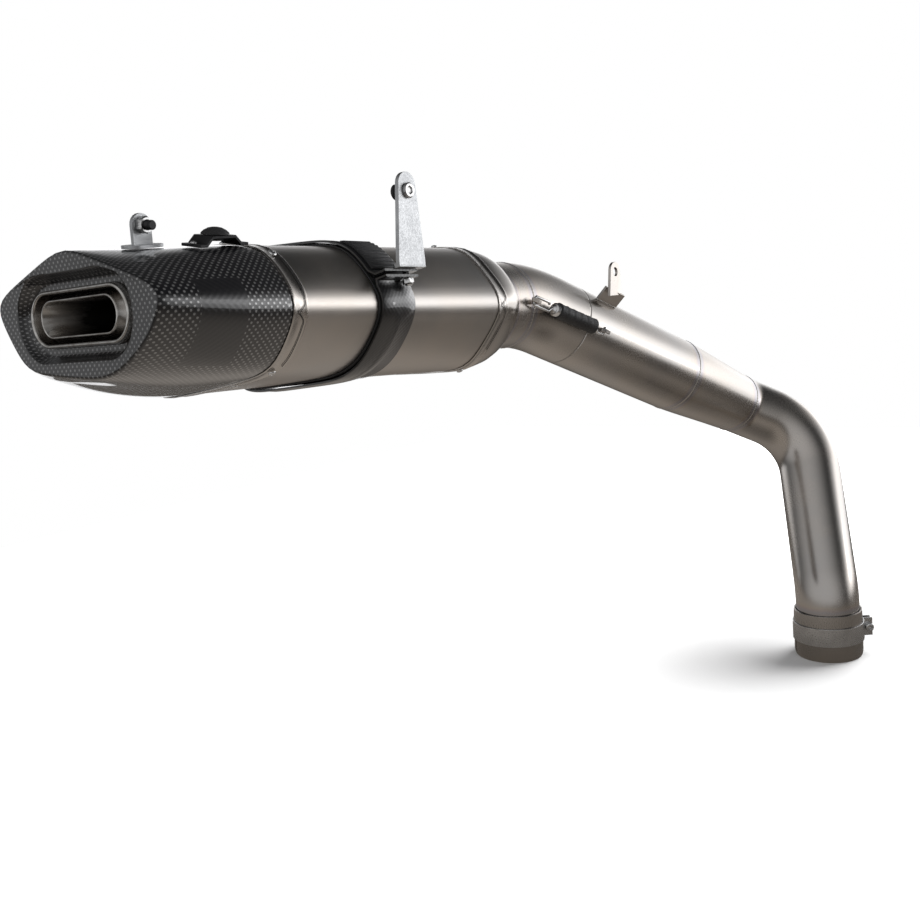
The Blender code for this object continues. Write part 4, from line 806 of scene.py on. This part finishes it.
def make_outlet():
    lip_y = FACE_Y + OUTLET_RECESS
    roll, wall = 0.0022, 0.0014
    end_y = lip_y + OUTLET_LENGTH
    profile = [(end_y, 0.0), (lip_y + 3 * roll, 0.0), (lip_y + roll, 0.0)]
    for turn in range(15, 180, 15):
        swing = math.radians(turn)
        profile.append((lip_y + roll * (1 - math.sin(swing)) * 0.8, -roll * 0.6 * (1 - math.cos(swing))))
    profile += [(lip_y + roll, -roll - 0.0003), (lip_y + 3 * roll, -roll - 0.0001), (end_y, -roll)]
    rings = [ring_at(y, stadium(OUTLET_WIDTH + 2 * g, OUTLET_HEIGHT + 2 * g), z=OUTLET_Z) for y, g in profile]
    shown("rolled_outlet", skin(in_place(rings)), depth_shaded_titanium("outlet_titanium", 0.20), "muffler",
          ("outlet_tube",), 50)
    mouth_y = lip_y + INSERT_RECESS
    flange_y = mouth_y + FLANGE_DEPTH
    sheet = 0.0012
    slack = roll + 0.0004 + GAP
    wide = (OUTLET_WIDTH - INSERT_WIDTH) / 2 - slack
    tall = (OUTLET_HEIGHT - INSERT_HEIGHT) / 2 - slack
    end = mouth_y + INSERT_LENGTH
    taper = 0.010
    profile = [(mouth_y + 0.0004, 0, 0)]
    for i in range(1, 9):
        share = i / 8
        curve = share ** 1.6
        profile.append((mouth_y + FLANGE_DEPTH * share, wide * curve, tall * curve))
    profile += [(flange_y + sheet, wide, tall), (flange_y + sheet, 0, 0), (end, -taper, 0),
                (end, -taper - sheet, -sheet), (mouth_y + 0.0004, -sheet, -sheet),
                (mouth_y, -sheet * 0.7, -sheet * 0.7), (mouth_y, -sheet * 0.3, -sheet * 0.3)]
    rings = [ring_at(y, stadium(INSERT_WIDTH + 2 * g, INSERT_HEIGHT + 2 * h), z=OUTLET_Z)
             for y, g, h in profile]
    shown("flared_insert", skin(in_place(rings)), depth_shaded_titanium("insert_titanium", 0.16), "muffler",
          ("noise_insert",), 50)


# ---------------------------------------------------------------- hanger clamp
def ear_root():
    return skin_point(EAR_DIRECTION, HANGER_Y, 0.0)


def round_the_body(grow_by, half):
    """The clamp's path round the muffler, from above its split to below it."""
    root = ear_root()
    kept = []
    for x, z in body_outline(CLAMP_Y, grow_by, 2 * FINE):
        point = Vector((MUFFLER_X + x, HANGER_Y, MUFFLER_Z + z))
        turn = (math.atan2(z, x) - math.radians(EAR_DIRECTION)) % (2 * math.pi)
        if x < 0 or abs((point - root).dot(EAR_UP)) > half:
            kept.append((turn, point))
    return [point for turn, point in sorted(kept, key=lambda item: item[0])]


def swept_strip(path, section):
    """Sweep a section of (y, height) points, given for each share of the path, along a path in X and Z."""
    rings = []
    for i, point in enumerate(path):
        into = (point - path[max(i - 1, 0)]).normalized()
        out = (path[min(i + 1, len(path) - 1)] - point).normalized()
        way = (into + out).normalized()
        normal = Vector((way.z, 0, -way.x))
        bend = max(0.35, abs(way.dot(out if out.length else into)))
        rings.append([MUFFLER_MATRIX @ (Vector((point.x, CLAMP_Y + y, point.z)) + normal * (h / bend))
                      for y, h in section(i / (len(path) - 1), point)])
    return skin(rings, "filled")


def make_clamp():
    lining_edge = CLAMP_WIDTH * LINING_SHARE / 2
    shell("rubber_lining", (CLAMP_Y - lining_edge, CLAMP_Y, CLAMP_Y + lining_edge), GAP, GAP + LINING_WALL,
          rubber("lining_rubber"), "clamp_lining")
    thick = STRAP_WALL / 2
    low = GAP + LINING_WALL + STRAP_FIT
    half = EAR_GAP / 2 + thick
    root = ear_root()

    def ear(s, h):
        return root + EAR_OUT * s + EAR_UP * h

    path = [ear(EAR_LENGTH - 0.0002, half), ear(EAR_LENGTH * 0.7, half), ear(low + 0.0035, half),
            *round_the_body(low + thick - 0.00025, half + 0.0015),
            ear(low + 0.0035, -half), ear(EAR_LENGTH * 0.7, -half), ear(EAR_LENGTH - 0.0002, -half)]

    def section(share, point):
        side = CLAMP_WIDTH / 2
        below = MUFFLER_Z - point.z
        rib = 0.0009 * max(0.0, min(1.0, (below - 0.002) / 0.008)) + 0.00001
        return ((-side, -thick), (side, -thick), (side, thick * 0.4), (side - 0.0006, thick), (0.0042, thick),
                (0.0030, thick + rib * 0.6), (0.0016, thick + rib), (-0.0016, thick + rib),
                (-0.0030, thick + rib * 0.6), (-0.0042, thick), (-side + 0.0006, thick), (-side, thick * 0.4))

    look, _ = carbon("strap_carbon", 0.0034, "Object", (0, 90, 0), 0.045)
    shown("ribbed_strap", swept_strip(path, section), look, "muffler", ("clamp_strap",), 45)

    upper = [p for p in round_the_body(low + STRAP_WALL, half + 0.003) if p.z > MUFFLER_Z + 0.014
             and p.x > MUFFLER_X + 0.052]
    ridged = []
    for a, b in zip(upper, upper[1:]):
        ridged += [a.lerp(b, i / 6) for i in range(6)]
    lengths = [0.0]
    for a, b in zip(ridged, ridged[1:]):
        lengths.append(lengths[-1] + (b - a).length)
    pitch = 0.0036

    def ribbed(share, point):
        run = lengths[min(len(lengths) - 1, round(share * (len(ridged) - 1)))]
        rise = 0.0004 + 0.0011 * abs(math.sin(math.pi * run / pitch)) ** 0.6
        side = CLAMP_WIDTH / 2 - 0.003
        return ((-side, 0), (side, 0), (side, rise * 0.7), (side - 0.0006, rise), (-side + 0.0006, rise),
                (-side, rise * 0.7))

    shown("ribbed_pad", swept_strip(ridged, ribbed), rubber("pad_rubber"), "muffler", angle=35)


# ---------------------------------------------------------------- tubes and welds
def make_tubes():
    bead = satin_titanium("weld_titanium", (0, 0, 1), 0.90, 0.24)
    start = Vector((0, CONE_FRONT_Y - INLET_REACH, 0))
    end = MUFFLER_MATRIX.inverted() @ (SLIP_CENTRE - SLIP_AXIS * (GAP / 2))
    radius = INLET_BEND_TANGENT / math.tan(end.angle(Vector((0, 1, 0))) / 2)
    route = [MUFFLER_MATRIX @ p for p in filleted([start, Vector((0, 0, 0)), end], [radius])]
    cone_joint = MUFFLER_MATRIX @ Vector((0, CONE_FRONT_Y, 0))
    straight = MUFFLER_MATRIX.to_3x3() @ Vector((0, 1, 0))
    elbow = MUFFLER_MATRIX @ Vector((0, -INLET_BEND_TANGENT, 0))
    look = tube_titanium("inlet_tube_titanium", ((cone_joint, straight), (elbow, straight)))
    lip = [SLIP_CENTRE - SLIP_AXIS * (GAP / 2 + step) for step in (0.0012, 0.0004, 0.0)]
    swell = [LINK_OD / 2] * (len(route) - 1)
    shown("inlet_tube_bent", tube(route[:-1] + lip, swell + [LINK_OD / 2, LINK_OD / 2, LINK_OD / 2 - 0.0003],
                                  TUBE_WALL), look, "muffler", ("inlet_tube",))
    weld_bead("cone_weld", cone_joint + straight * 0.0006, straight, LINK_OD / 2, "muffler", bead)
    weld_bead("elbow_weld", elbow, straight, LINK_OD / 2, "muffler", bead, 0.0017, 0.0006, 84)

    spigot_r = LINK_OD / 2 - TUBE_WALL - 0.0005
    stations = ((0.003 - SPIGOT_LENGTH, spigot_r - 0.0006), (0.006 - SPIGOT_LENGTH, spigot_r),
                (GAP / 2, spigot_r), (GAP / 2 + 0.0003, LINK_OD / 2 - 0.0006),
                (GAP / 2 + 0.0009, LINK_OD / 2), (0.05, LINK_OD / 2), (0.10, LINK_OD / 2),
                (LINK_LENGTH - GAP / 2, LINK_OD / 2))
    route = [SLIP_CENTRE + SLIP_AXIS * s for s, _ in stations]
    look = tube_titanium("link_titanium", ((REDUCER_START, SLIP_AXIS),))
    shown("link_tube", tube(route, [r for _, r in stations], TUBE_WALL), look, "link", ("link_pipe",))

    ends = GAP / 2 / REDUCER_LENGTH
    shares = [ends] + [i / 16 for i in range(1, 16)] + [1 - ends]
    route = [REDUCER_START + SLIP_AXIS * (REDUCER_LENGTH * s) for s in shares]
    radii = []
    for s in shares:
        ease = s * s * (3 - 2 * s) * 0.35 + s * 0.65
        radii.append((LINK_OD + (PIPE_OD - LINK_OD) * ease) / 2)
    look = tube_titanium("reducer_titanium", ((REDUCER_START, SLIP_AXIS), (REDUCER_END, SLIP_AXIS)))
    shown("reducer_spun", tube(route, radii, TUBE_WALL), look, "link", ("reducer_cone",))
    weld_bead("link_weld", REDUCER_START, SLIP_AXIS, LINK_OD / 2, "link", bead, 0.0018, 0.0005, 84)
    weld_bead("reducer_weld", REDUCER_END, SLIP_AXIS, PIPE_OD / 2, "link", bead, 0.0018, 0.0005, 76)

    corners = [REDUCER_END + SLIP_AXIS * (GAP / 2), REDUCER_END + SLIP_AXIS * LEAD_LENGTH, UPPER_BEND,
               Vector((0, 0, LOWER_BEND_HEIGHT)), Vector((0, 0, PIPE_BOTTOM))]
    route = filleted(corners, BEND_RADII)
    neck = Vector((0, 0, SOCKET_HEIGHT + 0.004))
    look = tube_titanium("down_pipe_titanium", ((REDUCER_END, SLIP_AXIS), (neck, Vector((0, 0, 1)))))
    shown("down_pipe_bent", tube(route, [PIPE_OD / 2 - 0.0005] * len(route), TUBE_WALL), look, "link",
          ("down_pipe",))
    weld_bead("neck_weld", neck, Vector((0, 0, 1)), PIPE_OD / 2 + 0.0004, "link", bead)


# ---------------------------------------------------------------- fasteners
def cap_screw(name, body, look):
    """The CAD screw with a broken head edge, a hexagon socket and a threaded end."""
    place, rings = turned_frame(name)
    head_r = max(r for _, r in rings) * 0.975
    head_h = max(t for t, r in rings if r > 0.97 * head_r)
    end = max(t for t, _ in rings)
    shank_r = max(r for t, r in rings if t > end - 0.0005)
    flats = head_r * 0.48
    profile = [(0.0, -head_h * 0.62), (flats * 0.9, -head_h * 0.58, True), (flats, -head_h * 0.5, True),
               (flats, -0.0002, True), (flats * 1.10, 0.0, True), (head_r * 0.80, 0.0),
               (head_r * 0.93, -head_h * 0.08), (head_r, -head_h * 0.26), (head_r, -head_h * 0.96),
               (head_r - 0.0002, -head_h), (shank_r, -head_h)]
    pitch = 0.0009
    thread_end = end - 0.0006
    turns = int((thread_end - head_h - 0.001) / pitch)
    for i in range(turns):
        t = head_h + 0.001 + pitch * i
        profile += [(shank_r, -t), (shank_r - 0.00035, -t - pitch / 2)]
    profile += [(shank_r, -thread_end), (shank_r - 0.0006, -end), (0.0, -end)]
    shown(name + "_detailed", revolved(profile, place), look, body, (name,), 35)


def hex_nut(name, body, look):
    """The CAD nut with its corners turned off and a washer face."""
    place, rings = turned_frame(name)
    corner = max(r for _, r in rings)
    thick = max(t for t, _ in rings)
    flats = corner * math.cos(math.pi / 6)
    bore = min(r for _, r in rings)
    profile = [(bore, -thick), (bore, -0.0003), (bore + 0.0003, 0.0), (flats * 0.93, 0.0),
               (flats * 0.955, -thick * 0.10, True), (flats * 0.955, -thick * 0.90, True),
               (flats * 0.93, -thick)]
    shown(name + "_detailed", revolved(profile, place, 36, "closed"), look, body, (name,), 25)


def pop_rivet(name, body, look):
    """The CAD rivet with a dished head; its frame is at the foot, so the dome is built from the far side."""
    place, rings = turned_frame(name)
    radius = max(r for _, r in rings)
    height = max(t for t, _ in rings)
    dome = ((0.02, 0.40), (0.24, 0.36), (0.30, 0.04), (0.45, 0.0), (0.72, 0.20), (0.92, 0.52), (1.0, 0.78),
            (1.0, 1.0), (0.02, 1.0))
    profile = [(radius * r, height * depth - height) for r, depth in dome]
    shown(name + "_detailed", revolved(profile, place, 28), look, body, (name,), 50)


def make_fasteners():
    bright = machined_steel("bright_steel")
    dark = black_oxide("black_screws")
    for name, body, look in (("ear_bolt", "muffler", bright), ("hanger_bolt", "hanger", bright),
                             ("clamp_bolt", "inlet_clamp", bright), ("rear_bracket_bolt", "muffler", dark)):
        cap_screw(name, body, look)
    for name, body in (("ear_nut", "muffler"), ("rear_bracket_nut", "muffler"), ("clamp_nut", "inlet_clamp")):
        hex_nut(name, body, bright)
    for name in NODES:
        if "rivet" in name:
            pop_rivet(name, "muffler", bright)


# ---------------------------------------------------------------- brackets
def make_brackets():
    alloy = blasted_aluminium("blasted_alloy")
    bracket_titanium = satin_titanium("bracket_titanium", (0, 0, 1), 1.1, 0.30)
    black = rubber("collar_rubber")
    crisp("hanger_bracket", alloy, "hanger", 0.0005)
    crisp("rear_bracket", alloy, "muffler", 0.0004)
    crisp("bridge_bracket", black_oxide("bridge_black"), "muffler", 0.0003)
    crisp("link_bracket", bracket_titanium, "link", 0.0004)
    for number in (1, 2):
        crisp(f"link_hook_{number}", bracket_titanium, "link", 0.0003)
        crisp(f"muffler_hook_{number}", bracket_titanium, "muffler", 0.0003)

    place, rings = turned_frame("hanger_collar")
    outer = max(r for _, r in rings)
    inner = min(r for _, r in rings)
    long = max(t for t, _ in rings)
    profile = [(inner, -long), (inner, 0.0), (outer - 0.0006, 0.0), (outer, -0.0006), (outer, -long * 0.30),
               (outer - 0.0009, -long * 0.38), (outer - 0.0009, -long * 0.62), (outer, -long * 0.70),
               (outer, -long + 0.0006), (outer - 0.0006, -long)]
    shown("grooved_collar", revolved(profile, place, 36, "closed"), black, "hanger", ("hanger_collar",))

    foot, rings = turned_frame("bridge_grommet")
    deep = max(t for t, _ in rings)
    place = foot @ Matrix.Translation((0, 0, -deep)) @ Matrix.Rotation(math.pi, 4, "X")
    rings = [(deep - t, r) for t, r in rings]
    wide = max(r for _, r in rings)
    rise = max(t for t, r in rings if r > 0.98 * wide)
    neck = max(r for t, r in rings if t > deep - 0.0004)
    step = ((0.0, 0.0), (0.22, 0.02), (0.48, 0.12), (0.66, 0.30), (0.70, 0.36), (0.76, 0.38), (0.90, 0.62),
            (1.0, 0.80), (1.0, 1.0))
    profile = [(wide * r, -rise * depth) for r, depth in step]
    profile += [(neck, -rise), (neck, -deep), (0.0, -deep)]
    shown("stepped_grommet", revolved(profile, place), black, "muffler", ("bridge_grommet",), 35)


# ---------------------------------------------------------------- springs
def make_springs():
    """Close-wound springs in rubber sleeves."""
    steel = machined_steel("spring_wire", 0.60)
    sheath = rubber("sleeve_rubber")
    ends = machined_steel("spring_ends", 0.72)
    for number in (1, 2):
        node = NODES[f"spring_sleeve_{number}"]
        points = [v.co.copy() for v in node.data.vertices]
        centre = sum(points, Vector()) / len(points)
        near, far = spring_ends(points, centre)
        way = (far - near).normalized()
        length = (far - near).length
        place = frame_matrix(near, way, Vector((0, 0, 1)))
        outer = max((p - centre - way * (p - centre).dot(way)).length for p in points)
        outer -= 0.0008
        inner = outer - 0.0016

        profile = [(inner, 0.0), (outer - 0.0006, 0.0), (outer, 0.0005)]
        waves = 30
        for i in range(1, waves):
            share = i / waves
            dent = 0.00022 * math.sin(i * 2.4) + 0.00016 * math.sin(i * 1.1 + number)
            profile.append((outer - 0.00030 + dent, 0.0005 + (length - 0.001) * share))
        profile += [(outer, length - 0.0005), (outer - 0.0006, length), (inner, length)]
        cover = shown(f"rubber_sheath_{number}", revolved(profile, place, 40, "closed"), sheath, None,
                      (f"spring_sleeve_{number}",), 60)
        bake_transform(cover)

        radius = inner - 0.0010
        coils = []
        turns, per_turn = 26, 14
        for i in range(turns * per_turn + 1):
            turn = 2 * math.pi * i / per_turn
            run = -0.0030 + (length + 0.0040) * i / (turns * per_turn)
            coils.append(place @ Vector((radius * math.cos(turn), radius * math.sin(turn), run)))
        spring = skin(tube_rings(coils, [SPRING_WIRE_RADIUS] * len(coils), 8), "filled")
        thing = shown(f"coil_{number}", spring, steel, None)
        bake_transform(thing)

        cone = [(0.0, -0.0056), (0.0016, -0.0056), (0.0024, -0.0050), (inner - 0.0006, -0.0034),
                (inner - 0.0001, -0.0026), (inner - 0.0001, 0.0), (0.0, 0.0)]
        shown(f"spring_end_{number}", revolved(cone, place), ends, "muffler", angle=35)
    for number in (1, 2):
        soften(f"spring_{number}", ends, "link")
        soften(f"spring_loop_{number}", steel, "muffler")


def spring_ends(points, centre):
    """A sleeve's two ends on its axis: the one by the muffler, then the one by the link."""
    far = max(points, key=lambda p: (p - centre).dot(SLIP_AXIS))
    near = min(points, key=lambda p: (p - centre).dot(SLIP_AXIS))
    tops = [p for p in points if (p - far).length < 0.018 and abs((p - far).dot(SLIP_AXIS)) < 0.003]
    feet = [p for p in points if (p - near).length < 0.018 and abs((p - near).dot(SLIP_AXIS)) < 0.003]
    return sum(feet, Vector()) / len(feet), sum(tops, Vector()) / len(tops)


def soften(name, look, body):
    """The CAD node with its doubled vertices merged, shaded smooth."""
    bm = bmesh.new()
    bm.from_mesh(NODES[name].data)
    bmesh.ops.remove_doubles(bm, verts=bm.verts, dist=0.00001)
    thing = shown(name + "_formed", bm, look, body, (name,), 50)
    return thing


# ---------------------------------------------------------------- inlet
def make_inlet():
    # Painted shade: the socket's titanium is toned darker (0.80) than the pipes' for the floor's contact
    # shadow it stands in.
    socket_shaded_titanium = satin_titanium("socket_titanium", (0, 0, 1), 0.80, 0.27)
    crisp("inlet_socket", socket_shaded_titanium, "link", 0.0003)
    crisp("band_clamp", machined_steel("clamp_steel", 0.56), "inlet_clamp", 0.0003)


def make_inside():
    # The core tube and bulkheads lie deep inside, so the painted shade makes them near black.
    dark = depth_shaded_titanium("core_titanium", 0.4)
    NODES["core_tube"].material_slots[0].material = dark.material
    for name in ("rear_bulkhead", "front_bulkhead"):
        NODES[name].material_slots[0].material = dark.material
    NODES["packing"].material_slots[0].material = packing_wool("basalt_wool").material


# ---------------------------------------------------------------- studio
def area_light(name, place, aim, size, radiance, colour=(1, 1, 1)):
    light = bpy.data.lights.new(name, "AREA")
    light.shape = "RECTANGLE"
    light.size, light.size_y = size
    light.energy = radiance * math.pi * size[0] * size[1]
    light.color = colour
    thing = bpy.data.objects.new(name, light)
    bpy.context.scene.collection.objects.link(thing)
    way = (Vector(aim) - Vector(place)).normalized()
    thing.matrix_world = frame_matrix(Vector(place), -way, Vector((0, 0, 1)).cross(-way))
    return thing


def make_floor():
    """White paper that glows: to the camera faintly by the inlet and full white farther out, painted light
    that hides the muffler's shadow; in reflections a warm dim grey glow, brighter under the muffler, a
    painted pool of light, and darker by the inlet, a painted shadow.
    """
    bm = bmesh.new()
    bmesh.ops.create_grid(bm, x_segments=1, y_segments=1, size=1.5)
    mesh = bpy.data.meshes.new("floor")
    bm.to_mesh(mesh)
    bm.free()
    floor = bpy.data.objects.new("floor", mesh)
    floor.location.z = CAD_BOX[0][2] - 0.0002
    bpy.context.scene.collection.objects.link(floor)
    paper = Finish("white_floor", (0.80, 0.80, 0.80), 1.0)
    paper.set("Specular IOR Level", 0.0)
    where = paper.place()
    out = paper.tree.nodes.new("ShaderNodeVectorMath")
    out.operation = "LENGTH"
    paper.tree.links.new(where, out.inputs[0])
    far = out.outputs["Value"]
    # Painted light: to the camera the floor glows, faint by the inlet and full white from 0.42 m out, which
    # hides the muffler's shadow.
    seen = paper.fit(far, 0.036, 0.42, FLOOR_GLOW_NEAR, 1.15, True)
    under = paper.tree.nodes.new("ShaderNodeVectorMath")
    under.operation = "DISTANCE"
    paper.tree.links.new(where, under.inputs[0])
    under.inputs[1].default_value = UNDER_MUFFLER
    # Painted light and shadow in reflections: the floor glows brighter under the muffler and darker by the
    # inlet; its own albedo there is near black.
    reflected_glow = paper.sum("MULTIPLY", paper.fit(under.outputs["Value"], 0.25, 0.95, 0.40, 0.09, True),
                         paper.fit(far, 0.05, 0.24, 0.45, 1.0, True))
    path = paper.tree.nodes.new("ShaderNodeLightPath")
    share = path.outputs["Is Camera Ray"]
    strength = paper.sum("ADD", paper.sum("MULTIPLY", seen, share),
                         paper.sum("MULTIPLY", reflected_glow, paper.sum("SUBTRACT", 1.0, share)))
    paper.set("Emission Strength", strength)
    paper.set("Emission Color", paper.mix(share, rgb(1.0, 0.91, 0.82), rgb(1, 1, 1)))
    albedo = paper.mix(share, rgb(0.02, 0.018, 0.017), rgb(0.80, 0.80, 0.80))
    paper.set("Base Color", albedo)
    floor.data.materials.append(paper.material)


def make_world():
    """White to the camera; in reflections a bright low horizon behind, dim overhead, soft in front."""
    world = bpy.data.worlds.new("studio")
    bpy.context.scene.world = world
    world.use_nodes = True
    tree = world.node_tree

    def towards(way, low, high, to_low, to_high):
        facing = tree.nodes.new("ShaderNodeVectorMath")
        facing.operation = "DOT_PRODUCT"
        tree.links.new(where.outputs["Generated"], facing.inputs[0])
        facing.inputs[1].default_value = Vector(way).normalized()
        spread = tree.nodes.new("ShaderNodeMapRange")
        spread.interpolation_type = "SMOOTHSTEP"
        tree.links.new(facing.outputs["Value"], spread.inputs[0])
        for index, value in zip((1, 2, 3, 4), (low, high, to_low, to_high)):
            spread.inputs[index].default_value = value
        return spread.outputs["Result"]

    def joined(operation, first, second):
        node = tree.nodes.new("ShaderNodeMath")
        node.operation = operation
        tree.links.new(first, node.inputs[0])
        tree.links.new(second, node.inputs[1])
        return node.outputs["Value"]

    where = tree.nodes.new("ShaderNodeTexCoord")
    node = tree.nodes["Background"]
    climb = tree.nodes.new("ShaderNodeValToRGB")
    elements = climb.color_ramp.elements
    for _ in range(len(HORIZON) - 2):
        elements.new(0.5)
    for element, (rise, level) in zip(elements, HORIZON):
        element.position = rise
        element.color = rgb(level, level, level)
    split = tree.nodes.new("ShaderNodeSeparateXYZ")
    tree.links.new(where.outputs["Generated"], split.inputs[0])
    tree.links.new(split.outputs[2], climb.inputs["Fac"])
    back = towards(KEY_WAY, 0.58, 0.92, 0.0, KEY_LIGHT)
    far = towards(BACKDROP_WAY, 0.45, 0.85, 0.0, BACKDROP_LIGHT)
    sweep = joined("MULTIPLY", climb.outputs["Color"], joined("MAXIMUM", back, far))
    front = towards(ROOM_FRONT, -0.1, 0.95, ROOM_DARK, ROOM_LIGHT)
    node.inputs["Color"].default_value = rgb(0.99, 0.99, 1.0)
    tree.links.new(joined("ADD", sweep, front), node.inputs["Strength"])
    seen = tree.nodes.new("ShaderNodeBackground")
    seen.inputs["Color"].default_value = rgb(1, 1, 1)
    path = tree.nodes.new("ShaderNodeLightPath")
    blend = tree.nodes.new("ShaderNodeMixShader")
    tree.links.new(path.outputs["Is Camera Ray"], blend.inputs[0])
    tree.links.new(node.outputs[0], blend.inputs[1])
    tree.links.new(seen.outputs[0], blend.inputs[2])
    tree.links.new(blend.outputs[0], tree.nodes["World Output"].inputs["Surface"])


def make_studio():
    bpy.context.scene.view_settings.view_transform = "Standard"
    make_floor()
    make_world()
    middle = Vector((-0.15, -0.30, 0.36))
    sun = area_light("shadow_key", (0.50, 1.20, 1.50), Vector((0, 0, 0)), (1.4, 1.4), 9.6)
    sun.visible_glossy = False
    area_light("card", (1.55, 1.10, 0.42), middle, (0.30, 0.26), 5.0)


def make_camera():
    camera = bpy.data.cameras.new("camera")
    camera.sensor_width = 36.0
    camera.lens = CAMERA_LENS
    camera.clip_start = 0.01
    thing = bpy.data.objects.new("camera", camera)
    bpy.context.scene.collection.objects.link(thing)
    azimuth, pitch, roll = (math.radians(a) for a in CAMERA_TURNS)
    level = Vector((math.sin(azimuth), -math.cos(azimuth), 0))
    away = level * math.cos(pitch) + Vector((0, 0, math.sin(pitch)))
    right = Vector((math.cos(azimuth), math.sin(azimuth), 0))
    up = away.cross(right)
    tilt = Matrix((right * math.cos(roll) - up * math.sin(roll), up * math.cos(roll) + right * math.sin(roll),
                   away)).transposed().to_4x4()
    thing.matrix_world = Matrix.Translation(CAMERA_PLACE) @ tilt
    bpy.context.scene.camera = thing


make_camera()
make_studio()
make_end_cap()
make_sleeve()
make_bands()
make_cone()
make_outlet()
make_clamp()
make_tubes()
make_fasteners()
make_brackets()
make_springs()
make_inlet()
make_inside()
